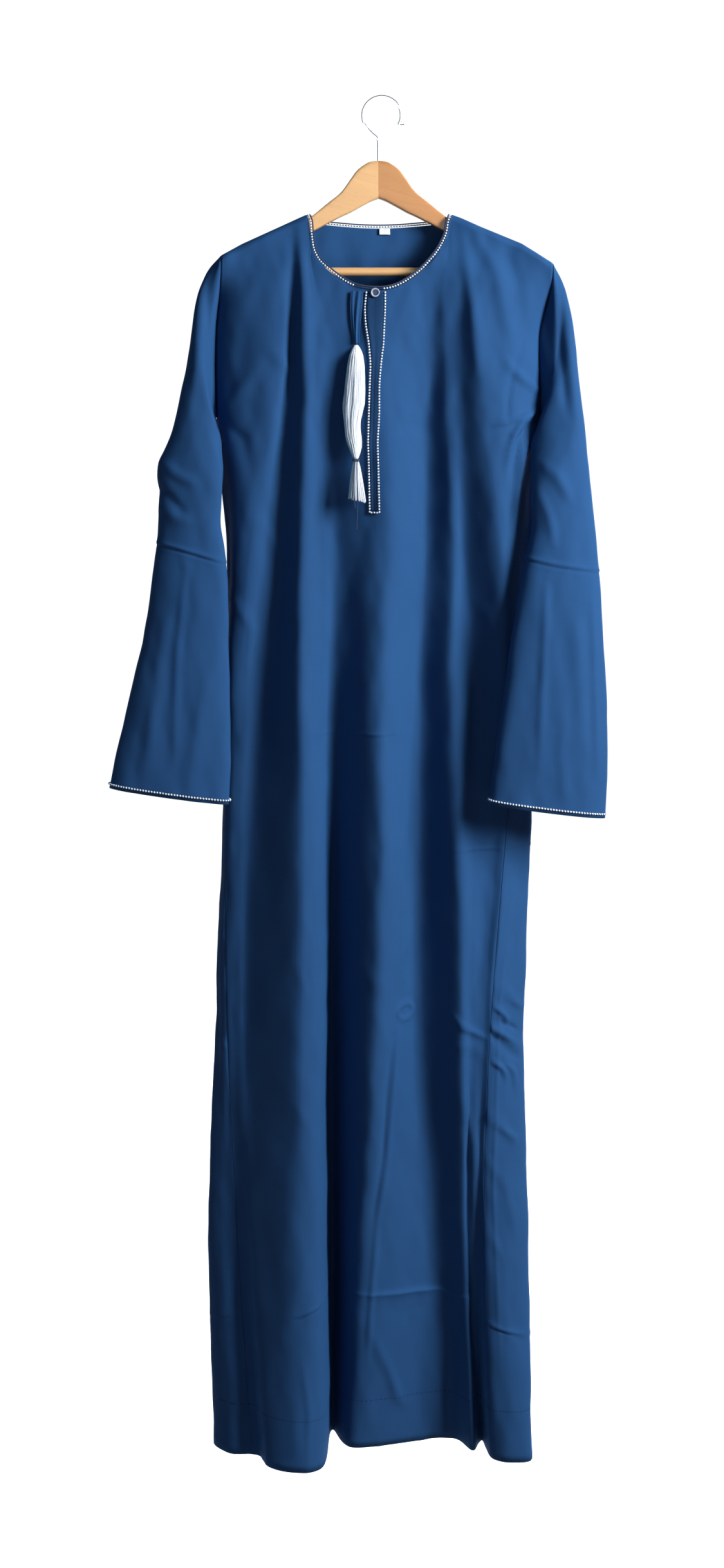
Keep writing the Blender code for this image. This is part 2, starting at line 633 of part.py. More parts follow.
def curve_to_mesh(thing, collection):
    """Mesh copy of a curve object, its caps welded."""
    depsgraph = bpy.context.evaluated_depsgraph_get()
    mesh = bpy.data.meshes.new_from_object(thing.evaluated_get(depsgraph))
    bm = bmesh.new()
    bm.from_mesh(mesh)
    bmesh.ops.remove_doubles(bm, verts=bm.verts, dist=0.00001)
    bm.to_mesh(mesh)
    bm.free()
    solid = bpy.data.objects.new(thing.name + "_solid", mesh)
    solid.matrix_world = thing.matrix_world
    collection.objects.link(solid)
    bpy.data.objects.remove(thing)
    return solid


def make_cuff_cord(name, rings, parts, white):
    last, before = rings[-1], rings[-2]
    centre = last.mean(axis=0)
    path = []
    for k in range(len(last)):
        up = before[k] - last[k]
        up /= np.linalg.norm(up)
        run = last[(k + 1) % len(last)] - last[k - 1]
        out = np.cross(run, up)
        out /= np.linalg.norm(out)
        if np.dot(out, last[k] - centre) < 0:
            out = -out
        path.append(last[k] + up * 5.0 + out * (WALL / 2 + 0.4 + CORD_RADIUS))
    tube_object(name, path, CORD_RADIUS, white, parts, cyclic=True)


def arm_object(name, side, wood, parts):
    rings = []
    for x, top, bottom, half in ARM:
        top = ridge_z(side * x) - 2.5 if top is None else top
        y = ridge_y(x)
        cut = min(3.0, half - 2.0)
        outline = ((-half + cut, top), (half - cut, top), (half, top - cut),
                   (half, bottom + 2), (half - 2, bottom), (-half + 2, bottom),
                   (-half, bottom + 2), (-half, top - cut))
        rings.append([(side * x, y + dy, z) for dy, z in outline])
    return loft_object(name, rings, wood, parts)


def make_hanger(parts, wood, steel):
    arm_object("hanger_arm_left", -1, wood, parts)
    arm_object("hanger_arm_right", 1, wood, parts)
    bpy.ops.mesh.primitive_cylinder_add(vertices=16, radius=BAR_RADIUS * MM,
                                        depth=2 * BAR_HALF * MM,
                                        location=(0, ridge_y(164) * MM, BAR_Z * MM),
                                        rotation=(0, math.pi / 2, 0))
    bar = bpy.context.object
    bar.name = "hanger_bar"
    bar.data.materials.append(wood)
    for other in list(bar.users_collection):
        other.objects.unlink(bar)
    parts.objects.link(bar)
    centre_x, centre_z, radius = 4.0, -21.4, 23.0
    path = [(0.0, 0.0, -75.6), (0.0, 0.0, -62.0), (0.0, 0.0, -52.0), (-2.5, 0.0, -47.5),
            (-7.0, 0.0, -44.2), (-12.0, 0.0, -40.0)]
    for degrees in range(200, -31, -14):
        a = math.radians(degrees)
        path.append((centre_x + radius * math.cos(a), 0.0, centre_z + radius * math.sin(a)))
    path.append((27.0, 0.0, -33.5))
    path.append((31.0, 0.0, -33.0))
    tube_object("hanger_hook", path, HOOK_WIRE, steel, parts, resolution=2)


def make_label(back_tree, parts, white):
    place = surface_point(back_tree, 7.5, -160.5, WALL / 2 + 0.7)
    bpy.ops.mesh.primitive_cube_add(size=1, location=tuple(float(c) * MM for c in place))
    label = bpy.context.object
    label.name = "neck_label"
    label.data.transform(Matrix.Diagonal((15 * MM, 0.6 * MM, 9 * MM, 1.0)))
    label.data.materials.append(white)
    for other in list(label.users_collection):
        other.objects.unlink(label)
    parts.objects.link(label)


def main():
    clear_scene()
    parts = bpy.data.collections.new("robe_on_hanger")
    helpers = bpy.data.collections.new("cutters")
    bpy.context.scene.collection.children.link(parts)
    bpy.context.scene.collection.children.link(helpers)
    blue = material("cotton_blue", CLOTH_BLUE, 0.85)
    deep = material("deep_blue_thread", DEEP_BLUE, 0.8)
    white = material("white_thread", WHITE_THREAD, 0.75)
    wood = material("lacquered_wood", WOOD, 0.4)
    steel = material("bright_steel", STEEL, 0.2, 1.0)
    front, back, left, right = make_cloth(parts, blue)
    front_tree = surface_tree(front)
    back_tree = surface_tree(back)
    make_neck(front, back, parts, white, deep)
    make_placket(front_tree, parts, white, deep)
    make_tab(front_tree, parts, blue)
    make_tassel(front_tree, parts, helpers, white, deep)
    make_cuff_cord("cuff_cord_left", left, parts, white)
    make_cuff_cord("cuff_cord_right", right, parts, white)
    make_label(back_tree, parts, white)
    make_hanger(parts, wood, steel)


main()
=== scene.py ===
"""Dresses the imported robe: folded cotton, stitched trim, tassel, wooden hanger and wire hook.

The tables are in millimetres in the part's own frame: X across the robe, Z up,
the front facing -Y, and the origin at the inside top of the hook.
"""
import math

import bmesh
import bpy
import numpy as np
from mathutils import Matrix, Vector
from mathutils.bvhtree import BVHTree


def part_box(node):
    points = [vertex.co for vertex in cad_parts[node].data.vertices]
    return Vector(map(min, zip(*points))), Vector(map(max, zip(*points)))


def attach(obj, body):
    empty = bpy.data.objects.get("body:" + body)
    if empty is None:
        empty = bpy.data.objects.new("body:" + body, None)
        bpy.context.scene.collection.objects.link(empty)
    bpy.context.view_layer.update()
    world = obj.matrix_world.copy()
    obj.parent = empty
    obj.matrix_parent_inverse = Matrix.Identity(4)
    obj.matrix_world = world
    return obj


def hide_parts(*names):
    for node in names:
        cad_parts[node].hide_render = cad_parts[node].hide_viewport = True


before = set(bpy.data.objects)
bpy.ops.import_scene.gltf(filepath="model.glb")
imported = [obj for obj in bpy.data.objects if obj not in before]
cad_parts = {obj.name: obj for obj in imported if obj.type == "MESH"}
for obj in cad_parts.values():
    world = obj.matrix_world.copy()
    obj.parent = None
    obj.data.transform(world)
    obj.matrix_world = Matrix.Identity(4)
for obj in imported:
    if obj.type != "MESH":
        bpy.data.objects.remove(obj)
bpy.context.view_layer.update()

bl_info = {
    "name": "Robe on a hanger",
    "version": (1, 0, 0),
    "blender": (4, 5, 0),
    "location": "View3D > Sidebar > Robe",
    "description": "Makes the cloth, trim, tassel and hanger over the packed robe",
    "category": "Object",
}

MM = 0.001
ROUND = 2 * math.pi
UNDERARM_Z = -383.0
HEM_Z = -1607.0
NECK_Z = -141.0
ARMHOLE_TOP_Z = -190.0
ARMHOLE_GAP = 17.0      # front to back at the armhole's widest
WRAP_REACH = 110.0      # how far below the underarm the sides take to close
RIDGE_ROLL = 10.5       # half depth of the robe where it lies over the hanger
RIDGE_DEPTH = 9.0
RIDGE_BEND = 8.0        # how far the shoulders come forward at their ends
SHOULDER_REACH = 190.0
TOP_BLEND = 90.0        # heights over which the top edge passes into the folds
RIDGE_BLEND = 62.0
SEAM = 0.3
HEM_TURNING = 58.0
ROW_STEP = 8.5
CREASE_ROW_STEP = 1.7
UPPER_STEPS = 6         # rows between two of UPPER_ROWS
SLEEVE_STEPS = 8        # rows between two rings, and where the packing fold crosses
SLEEVE_FOLD_STEPS = 26
SLEEVE_LEAN = 9.0
BUTTON_MARK = (31.4, -1086.0)   # small ring pressed into the lap, as by a button
BUTTON_MARK_RADIUS = 9.0
STITCH_RADIUS = 1.2
NECK_CORD_OUT = 1.8     # off the neck's edge: the cord's middle, then the piping's
NECK_PIPING_OUT = 4.1
BAND_LIFT = 1.9         # off the middle of the front panel's cloth
PLACKET_CORD_LIFT = 2.6
PLACKET_CORD_SIDE = 1.6
CUFF_CORD_UP = 5.0
CUFF_CORD_OUT = 1.9
TASSEL_X = -26.5
TAB_TOP_Z = -234.0
TAB_END_Z = -296.5
HANK_TOP_Z = -298.0
HANK_END_Z = -431.0
FOOT_TOP_Z = -434.0     # the hank is tied off between its end and its foot
FOOT_END_Z = -480.5
ARM_INSET = 2.5         # the wood's top under the robe's ridge
ARM_SIDES = 40
BAR_Z = -209.0
BAR_RADIUS = 5.2

# Stage, in metres: floor height, back wall, distance and height of the other walls.
FLOOR_Z = -1.90
WALL_Y = 8.0
ROOM_HALF = 9.0
ROOM_TOP = 5.5
COVE_RADIUS = 0.9

# Heights of the level sections, and the folds' place and depth at each.
STATIONS = (-189, -253, -383, -537, -691, -884, -1115, -1346, -1607)
FRONT_FOLDS = {
    "seam_l": ((-187, -192, -192, -178, -181, -183, -180, -168, -149),
               (-8, -4, -2, 2, 1, -4, -11, -17, -32)),
    "turn_l": ((-165, -171, -173, -171, -176, -176, -172, -160, -140),
               (-20, -20, -20, -12, -8, -10, -14, -21, -36)),
    "crest_a": ((-128, -113, -123, -151, -163, -165, -164, -154, -135),
                (-22, -30, -30, -20, -12, -12, -17, -27, -47)),
    "valley_a": ((-104, -100, -110, -118, -131, -151, -156, -147, -128),
                 (-22, -27, -20, -8, -4, -10, -18, -36, -62)),
    "crest_b": ((-87, -85, -86, -91, -92, -90, -92, -93, -92),
                (-22, -34, -38, -34, -40, -50, -58, -66, -76)),
    "edge_b": ((-75, -71, -74, -67, -67, -68, -68, -68, -67),
               (-22, -32, -33, -22, -24, -36, -46, -56, -66)),
    "valley_b": ((-52, -50, -56, -52, -52, -55, -57, -56, -55),
                 (-24, -31, -28, -16, -8, -2, 6, 16, 28)),
    "crest_c": ((2, 2, 9, 11, 3, 3, -4, -17, -33),
                (-26, -33, -36, -36, -42, -50, -50, -38, -14)),
    "valley_c": ((55, 63, 61, 58, 53, 51, 55, 69, 90),
                 (-24, -22, -10, -4, -2, -6, -10, -4, 7)),
    "crest_d": ((78, 79, 82, 89, 87, 94, 98, 102, 112),
                (-22, -26, -22, -20, -24, -38, -42, -26, -23)),
    "valley_d": ((89, 95, 99, 103, 113, 112, 108, 105, 119),
                 (-22, -28, -25, -14, -10, -30, -35, -22, -6)),
    "crest_e": ((124, 116, 127, 144, 150, 129, 117, 112, 124),
                (-22, -34, -37, -36, -30, -26, -33, -27, 2)),
    "turn_r": ((191, 174, 171, 166, 162, 139, 124, 118, 128),
               (-20, -22, -24, -22, -20, -24, -33, -29, -18)),
    "seam_r": ((207, 194, 192, 178, 167, 150, 131, 124, 133),
               (-8, -4, -2, -6, -8, -25, -35, -37, -40)),
}
BACK_FOLDS = {
    "rise_r": ((207, 195, 194, 182, 172, 158, 138, 132, 140),
               (-10, 10, 0, -3, -6, -20, -34, -40, -47)),
    "strip_r": ((206, 196, 196, 186, 178, 168, 152, 152, 158),
                (-10, 14, 5, 2, -2, -10, -26, -38, -52)),
    "edge_r": ((201, 194, 196, 193, 187, 182, 173, 176, 178),
               (-6, 18, 14, 12, 8, 5, -6, -20, -47)),
    "turn_br": ((175, 177, 181, 182, 177, 170, 165, 168, 173),
                (6, 24, 27, 28, 26, 28, 30, 24, 6)),
    "crest_1": ((133, 142, 144, 146, 139, 127, 123, 120, 124),
                (8, 24, 32, 38, 42, 46, 50, 56, 60)),
    "valley_1": ((90, 99, 99, 96, 91, 87, 87, 84, 80),
                 (8, 22, 24, 24, 26, 28, 32, 34, 36)),
    "crest_2": ((48, 52, 52, 52, 49, 45, 41, 41, 37),
                (8, 22, 30, 38, 44, 50, 56, 64, 72)),
    "valley_2": ((2, 2, 2, 2, 0, -2, -6, -8, -10),
                 (8, 20, 22, 24, 26, 28, 32, 36, 40)),
    "crest_3": ((-49, -53, -53, -53, -52, -53, -58, -60, -64),
                (8, 22, 30, 38, 46, 52, 58, 66, 76)),
    "valley_3": ((-91, -99, -100, -98, -96, -100, -104, -110, -114),
                 (8, 22, 24, 26, 28, 30, 34, 38, 42)),
    "crest_4": ((-138, -142, -143, -143, -139, -144, -148, -152, -155),
                (8, 24, 32, 36, 42, 46, 50, 56, 62)),
    "turn_bl": ((-172, -179, -185, -173, -174, -179, -185, -188, -182),
                (4, 21, 24, 24, 24, 24, 24, 24, 26)),
    "edge_l": ((-181, -192, -197, -181, -183, -187, -195, -203, -196),
               (-6, 17, 12, 12, 12, 8, 4, 2, -4)),
    "strip_l": ((-185, -194, -197, -181, -182, -186, -188, -188, -173),
                (-10, 13, 4, 7, 7, 2, -4, -12, -30)),
}

# Where each fold starts on the shoulder seam or the neckline: x, z.
FRONT_TOPS = ((-187, -190), (-165, -178), (-124, -159), (-104, -149), (-86, -141),
              (-81, -169), (-58, -208), (1, -233), (62, -198), (82, -164),
              (88, -141), (124, -156), (186, -186), (207, -199))
BACK_TOPS = ((207, -199), (203, -197), (198, -194), (190, -188), (170, -176),
             (125, -157), (88, -141), (45, -150), (1, -155), (-47, -152), (-86, -141),
             (-128, -160), (-162, -176), (-176, -184), (-182, -187), (-187, -190))
FRONT_NECK = (4, 10)
BACK_NECK = (6, 10)
FRONT_NECKLINE = ((-86, -141), (-84, -145), (-82.6, -151), (-81, -169), (-78, -185),
                  (-71, -198), (-62, -207), (-51, -216), (-39, -224), (-26, -230),
                  (-13, -232.5), (1, -233), (14, -231.5), (27, -226.5), (39, -219),
                  (51, -209.5), (61, -199), (70, -188), (77, -176), (82, -164),
                  (84.4, -151), (86, -145), (88, -141))
BACK_NECKLINE = ((88, -141), (85.8, -145.5), (80, -149.5), (63, -151.5), (42, -153.5),
                 (21, -155), (1, -155.5), (-20, -155), (-41, -153.5), (-62, -151.5),
                 (-78, -149.5), (-83.8, -145.5), (-86, -141))
FRONT_COLUMNS = (3, 3, 2, 3, 3, 4, 5, 5, 3, 2, 3, 4, 3)
BACK_COLUMNS = (3, 2, 2, 2, 3, 3, 3, 3, 3, 3, 3, 2, 2, 2, 3)
FRONT_FINER = (3, 4, 3, 3, 3, 3, 5, 8, 3, 3, 4, 4, 3)
BACK_FINER = (4, 6, 6, 3, 3, 3, 3, 3, 3, 3, 3, 3, 4, 5, 5)
UPPER_ROWS = (0.0, 0.006, 0.02, 0.05, 0.12, 0.24, 0.40, 0.58, 0.76, 0.91, 1.0)
RIDGE = ((-187, -190), (-162, -176), (-123, -158), (-95, -145), (-86, NECK_Z),
         (88, NECK_Z), (99, -145), (121, -155), (171, -176), (207, -199))

# Sleeve rings: outer x, outer z, inner x, inner z, centre y, half depth.
SLEEVE_L = (
    (-204, -210, -199, -386, -6, 13),
    (-216, -245, -195, -394, -11, 17),
    (-222, -284, -188, -407, -18, 17),
    (-228, -326, -186, -424, -21, 17),
    (-235, -361, -184, -443, -25, 16),
    (-246, -403, -185, -464, -27, 16),
    (-261, -441, -186, -486, -27, 16),
    (-260, -479, -187, -510, -27, 16),
    (-262, -521, -182, -543, -27, 16),
    (-268, -574, -179, -587, -28, 17),
    (-278, -643, -177, -650, -29, 18),
    (-291, -699, -175, -711, -32, 18),
    (-304, -756, -175, -771, -34, 18),
    (-318, -820, -177, -838, -36, 18),
)
SLEEVE_R = (
    (221, -227, 197, -386, -8, 11),
    (228, -265, 189, -396, -11, 12),
    (233, -303, 182, -411, -17, 13),
    (237, -346, 181, -431, -22, 15),
    (242, -384, 181, -451, -28, 16),
    (246, -426, 180, -477, -33, 18),
    (251, -471, 181, -509, -33, 20),
    (255, -517, 175, -543, -38, 20),
    (259, -570, 166, -585, -42, 20),
    (263, -630, 157, -637, -46, 20),
    (266, -694, 149, -694, -49, 20),
    (267, -754, 141, -750, -52, 20),
    (267, -802, 134, -795, -54, 20),
    (265, -852, 129, -834, -56, 20),
)
PLACKET = ((-236, -13, 6), (-254, -15, 6), (-273, -14, 5), (-297, -10, 4),
           (-320, -8, 1), (-346, -9, -1), (-380, -10, -1), (-413, -11, -3),
           (-443, -10, -2), (-494, -9, -1))
TASSEL_FORM = ((-297.3, -26.3, 1.5, 1.5), (-300, -26.3, 3.6, 3.0), (-309, -26.4, 7.8, 4.8),
               (-322, -26.7, 10.1, 5.6), (-337, -27.2, 11.3, 6.0), (-353, -28.0, 12.2, 6.3),
               (-368, -29.2, 12.8, 6.2), (-378, -30.4, 11.6, 6.0), (-389, -31.0, 9.5, 5.7),
               (-399, -30.4, 9.2, 5.6), (-409, -29.2, 9.3, 5.6), (-419, -27.6, 7.4, 5.0),
               (-427, -27.0, 4.6, 4.2), (-431, -26.8, 2.9, 3.0), (-435, -26.7, 2.9, 3.0))
ARM = ((0.15, -76, -121, 6.5), (8, -76.8, -124, 6.5), (14, -79, -127, 6.5),
       (25, -87, -133, 6.3), (34, -99, -138, 6.2), (45, -114, -143, 6),
       (61, -127, -151, 5.6), (70, -134.5, -156, 5.3), (78, -141, -160, 5.2),
       (84, -145, -163, 5.2), (92, None, -167, 5.2), (123, None, -181, 5.6),
       (150, None, -193, 5.6), (164.0, None, -200, 5.5), (164.3, None, -217, 5.5),
       (172, None, -217, 5.3), (176, None, -212, 4.4))

# Creases pressed in by packing, and pulls in the cloth: path of x, z points,
# height out of the cloth and half width. Each is a round ridge, unless its row ends
# with fold, sharp with a hollow under it, or with step, sharp on one side only.
FRONT_CREASES = (
    ("packing fold across the middle", ((-67, -757), (-37, -755.5), (-8, -757), (14, -756)),
     1.1, 2.2, "fold"),
    ("packing fold across the shins", ((-16, -1418), (40, -1422), (98, -1425)), 2.4, 2.6, "step"),
    ("shin fold on the left crest", ((-97, -1432), (-69, -1419)), 1.5, 2.4, "fold"),
    ("line down from the ring", ((23, -1096), (17, -1175), (11, -1253), (0, -1321)), 1.9, 2.8),
    ("trough beside that line", ((17, -1110), (10, -1180), (5, -1253), (-6, -1325)), -1.7, 3.2),
    ("lower part of the line", ((0, -1321), (-8, -1416), (-13, -1499)), 1.5, 3.2),
    ("slant by the left hip", ((-179, -592), (-149, -633), (-153, -668), (-155, -705)), 1.8, 4),
    ("line under the left hip", ((-155, -705), (-155, -751), (-160, -820)), 1.4, 5),
    ("gusset seam at the right underarm", ((176, -280), (160, -325), (153, -358), (151, -389)),
     -1.3, 2.6),
    ("fold beside the gusset seam", ((168, -290), (150, -330), (143, -372)), 1.0, 7),
    ("right hip fold", ((96, -894), (126, -893), (150, -894)), 0.8, 2.4, "fold"),
    ("first pull at the right underarm", ((189, -372), (172, -385), (160, -404), (150, -440)),
     3.6, 3.8),
    ("second pull at the right underarm", ((188, -396), (173, -424), (163, -468), (160, -510)),
     3.0, 3.8),
    ("third pull at the right underarm", ((182, -380), (160, -384), (138, -392)), 2.6, 3.6),
    ("hollow between the pulls", ((184, -384), (164, -412), (156, -452)), -2.4, 4),
    ("pull above the right underarm", ((190, -350), (171, -338), (150, -318)), 2.8, 4),
    ("drag from the right shoulder", ((112, -158), (139, -209), (156, -290)), 2.0, 9),
    ("hollow under the right shoulder", ((150, -178), (165, -230), (172, -300)), -1.6, 10),
    ("drag from the neck at the right", ((99, -160), (111, -250), (117, -330)), 1.8, 7),
    ("drag from the neck at the left", ((-93, -160), (-88, -240), (-90, -350)), 2.2, 6),
    ("hollow beside the left drag", ((-103, -160), (-101, -250), (-104, -360)), -2.2, 6),
    ("pull at the left underarm", ((-186, -372), (-160, -350), (-140, -318)), 1.6, 7),
    ("hollow at the left underarm", ((-182, -388), (-160, -410), (-150, -460)), -1.4, 7),
    ("soft dent beside the placket", ((22, -395), (42, -392), (62, -402)), -0.8, 11),
    ("soft fold under the placket", ((10, -470), (32, -520), (40, -600)), 0.9, 14),
    ("slant in the lap of the left crest", ((-88, -1490), (-80, -1540), (-83, -1590)), 1.3, 4),
    ("slant above the middle of the hem", ((-8, -1470), (12, -1512), (28, -1558)), 1.6, 5),
    ("second slant above the hem", ((14, -1520), (20, -1545), (34, -1560)), 1.2, 5),
    ("pull towards the right seam", ((86, -1085), (101, -1102), (127, -1116)), 1.6, 4),
    ("second pull to the right seam", ((84, -1122), (104, -1124), (124, -1131)), 1.1, 4),
    ("slant on the right lap", ((100, -1180), (112, -1240), (118, -1300)), 1.3, 6),
    ("ripple low on the right lap", ((104, -1330), (110, -1385), (116, -1440)), 1.2, 6),
    ("crest line of the left fold", ((-92, -560), (-90, -900), (-92, -1250)), 0.7, 6),
    ("small fold at the left chest", ((-134, -300), (-112, -318), (-94, -345)), 1.2, 6),
    ("small fold at the left waist", ((-150, -500), (-128, -520), (-112, -552)), 1.0, 6),
    ("kink in the left fold", ((-100, -1010), (-92, -1030), (-84, -1062)), 0.9, 4),
    ("kink over the left shin", ((-98, -1180), (-90, -1198), (-80, -1212)), 0.9, 4),
    ("slack in the middle", ((-34, -1020), (-8, -1042), (12, -1052)), 0.9, 6),
    ("slack over the ring", ((36, -980), (28, -1020), (30, -1062)), 0.9, 5),
    ("small fold at the right hip", ((104, -800), (124, -822), (146, -834)), 1.0, 5),
    ("small fold at the right waist", ((118, -600), (136, -628), (146, -668)), 1.1, 6),
    ("soft ridge in the middle", ((-14, -600), (-20, -900), (-26, -1200)), 0.8, 11),
)
BACK_CREASES = (
    ("centre line of the back", ((0, -165), (1, -420), (0, -900)), 0.7, 4),
    ("packing fold across the back", ((-150, -752), (0, -756), (150, -752)), 1.2, 2.4, "fold"),
    ("packing fold behind the shins", ((-150, -1428), (0, -1422), (110, -1426)), 1.5, 2.4, "fold"),
    ("shin fold on the right strip", ((126, -1448), (150, -1456), (176, -1465)), 1.6, 2.4, "fold"),
    ("shin fold on the left strip", ((-198, -1453), (-171, -1445), (-148, -1435)),
     1.1, 2.8, "fold"),
    ("first pull on the right strip", ((134, -1053), (150, -1064), (170, -1085)), 1.9, 4),
    ("deep nick on the right strip", ((129, -1100), (147, -1112), (168, -1134)), 2.5, 4),
    ("hollow under the nick", ((132, -1112), (150, -1126), (166, -1144)), -2.1, 4.5),
    ("second pull on the right strip", ((127, -1204), (143, -1218), (164, -1240)), 1.8, 4.5),
    ("third pull on the right strip", ((125, -1256), (138, -1272), (154, -1292)), 1.5, 4.5),
    ("low pull on the right strip", ((130, -1345), (138, -1356), (147, -1374)), 1.3, 4),
    ("hip fold on the right strip", ((150, -893), (168, -892), (184, -894)), 0.8, 2.4, "fold"),
    ("slant down the right strip", ((150, -1290), (163, -1350)), 1.2, 6),
    ("stitched line beside the right seam",
     ((160, -930), (143, -1070), (135, -1290), (143, -1500)), 0.6, 2.5),
    ("short fold on the left strip", ((-184, -1000), (-168, -1004), (-152, -1012)), 1.9, 3.0),
    ("second fold on the left strip", ((-180, -1050), (-166, -1048), (-152, -1044)), 1.7, 3.0),
    ("third fold on the left strip", ((-190, -1128), (-170, -1126), (-150, -1116)), 1.8, 3.2),
    ("sharp pull on the right strip", ((136, -1078), (147, -1088), (154, -1102)), 2.2, 2.8),
    ("sharp hollow on the right strip", ((142, -1096), (154, -1102), (166, -1112)), -2.0, 3),
    ("short pull under the nick", ((134, -1142), (144, -1150), (152, -1164)), 2.2, 2.8),
    ("long pull under the nick", ((150, -1146), (160, -1158), (164, -1182)), 2.0, 3),
    ("long line on the left strip", ((-188, -960), (-186, -1100), (-182, -1240)), 1.0, 4),
    ("drag from the left shoulder", ((-120, -175), (-128, -260), (-140, -350)), 1.4, 8),
    ("drag from the right shoulder", ((118, -175), (124, -255), (139, -345)), 1.4, 8),
    ("soft fold behind the left hip", ((-120, -560), (-98, -610), (-90, -680)), 1.6, 6),
    ("soft fold behind the right hip", ((104, -600), (80, -650), (70, -730)), 1.6, 6),
    ("sitting crease on the left", ((-100, -812), (-60, -826), (-24, -822)), 1.5, 4),
    ("sitting crease on the right", ((20, -838), (58, -850), (98, -842)), 1.4, 4),
    ("hollow under the sitting crease", ((-90, -828), (-50, -842), (-20, -838)), -1.2, 6),
    ("long slant behind the knee", ((-70, -1010), (-40, -1090), (-30, -1180)), 1.3, 6),
    ("second slant behind the knee", ((40, -1060), (66, -1130), (72, -1220)), 1.3, 6),
    ("pull at the back of the left armhole", ((-176, -300), (-150, -330), (-130, -380)), 1.6, 6),
    ("pull at the back of the right armhole", ((184, -300), (156, -330), (136, -380)), 1.6, 6),
)
SLEEVE_L_CREASES = (
    ("packing fold", ((-268, -530), (-240, -536), (-212, -544), (-184, -553)), 1.8, 2.6, "fold"),
    ("dent at the elbow", ((-262, -466), (-246, -478), (-230, -496)), -2.0, 6),
    ("slack at the elbow", ((-256, -436), (-238, -450), (-214, -462)), 1.8, 6),
    ("second slack at the elbow", ((-258, -492), (-240, -500), (-220, -506)), 1.2, 6),
    ("soft fold to the cuff", ((-250, -620), (-262, -720), (-276, -815)), 1.8, 9),
    ("line on the forearm", ((-226, -560), (-236, -660), (-240, -790)), 1.2, 5),
    ("short fold over the cuff", ((-204, -690), (-212, -750), (-222, -815)), 1.3, 8),
    ("drag from the shoulder", ((-206, -215), (-212, -300), (-222, -380)), 1.6, 7),
)
SLEEVE_R_CREASES = (
    ("packing fold", ((166, -547), (190, -552), (211, -556.5), (262, -564)), 1.8, 2.6, "fold"),
    ("slack under the arm", ((190, -436), (208, -452), (226, -482)), 1.8, 7),
    ("second slack under the arm", ((188, -470), (200, -500), (206, -540)), 1.4, 6),
    ("soft fold to the cuff", ((226, -600), (234, -700), (240, -815)), 1.6, 10),
    ("line on the forearm", ((196, -570), (192, -660), (186, -790)), 1.4, 5),
    ("long line outside", ((250, -580), (252, -680), (254, -800)), 1.2, 5),
    ("short fold over the cuff", ((214, -720), (212, -780), (216, -830)), 1.2, 7),
    ("drag from the shoulder", ((222, -235), (228, -320), (234, -400)), 2.0, 7),
    ("hollow by the armhole", ((212, -240), (216, -310), (222, -380)), -1.8, 7),
)
# Heights at which the rows of the panels lie closer together.
CREASE_HEIGHTS = (-400, -755, -893, -1086, -1110, -1150, -1232, -1420, -1431, -1456)


# Shader values and materials

class Value:
    """An output of a material's node. Arithmetic on it adds Math nodes."""

    def __init__(self, paint, socket):
        self.paint = paint
        self.socket = socket

    def math(self, operation, *values):
        return self.paint.node("ShaderNodeMath", {"operation": operation},
                               dict(enumerate(values)))

    def __add__(self, other):
        return self.math("ADD", self, other)

    def __sub__(self, other):
        return self.math("SUBTRACT", self, other)

    def __mul__(self, other):
        return self.math("MULTIPLY", self, other)

    def __lt__(self, other):
        return self.math("LESS_THAN", self, other)

    def __gt__(self, other):
        return self.math("GREATER_THAN", self, other)

    def __abs__(self):
        return self.math("ABSOLUTE", self)

    def sine(self):
        return self.math("SINE", self)

    __radd__ = __add__
    __rmul__ = __mul__


class Paint:
    """One material. Constants go straight on the shader's sockets."""

    def __init__(self, name, **constants):
        self.material = bpy.data.materials.new(name)
        self.material.use_nodes = True
        self.tree = self.material.node_tree
        self.shader = self.tree.nodes["Principled BSDF"]
        for socket, value in constants.items():
            self.shader.inputs[socket.replace("_", " ")].default_value = value

    def node(self, kind, settings, inputs, output=0):
        made = self.tree.nodes.new(kind)
        for name, value in settings.items():
            setattr(made, name, value)
        for name, value in inputs.items():
            self.feed(made.inputs[name], value)
        return Value(self, made.outputs[output])

    def feed(self, socket, value):
        if isinstance(value, Value):
            self.tree.links.new(value.socket, socket)
        else:
            socket.default_value = value

    def set(self, socket, value):
        self.feed(self.shader.inputs[socket], value)

    def mix(self, share, first, second):
        return self.node("ShaderNodeMix", {"data_type": "RGBA"},
                         {0: share, 6: first, 7: second}, output=2)

    def split(self, vector):
        parts = self.node("ShaderNodeSeparateXYZ", {}, {0: vector})
        return [Value(self, parts.socket.node.outputs[k]) for k in range(3)]

    def join(self, x, y, z=0.0):
        return self.node("ShaderNodeCombineXYZ", {}, {0: x, 1: y, 2: z})

    def waves(self, value, pitch):
        """1 to -1 and back at every pitch."""
        return (value * (ROUND / pitch)).sine()

    def noise(self, vector, scale, detail=2.0, roughness=0.5, distortion=0.0):
        return self.node("ShaderNodeTexNoise", {},
                         {"Vector": vector, "Scale": scale, "Detail": detail,
                          "Roughness": roughness, "Distortion": distortion})

    def place(self):
        return self.node("ShaderNodeTexCoord", {}, {}, output=3)

    def cut(self):
        return self.node("ShaderNodeUVMap", {"uv_map": "cut"}, {})

    def bump(self, height, strength, distance):
        normal = self.node("ShaderNodeBump", {},
                           {"Strength": strength, "Distance": distance, "Height": height})
        self.set("Normal", normal)


def shade(color, share):
    return tuple(min(c * share, 1.0) for c in color[:3]) + (1.0,)


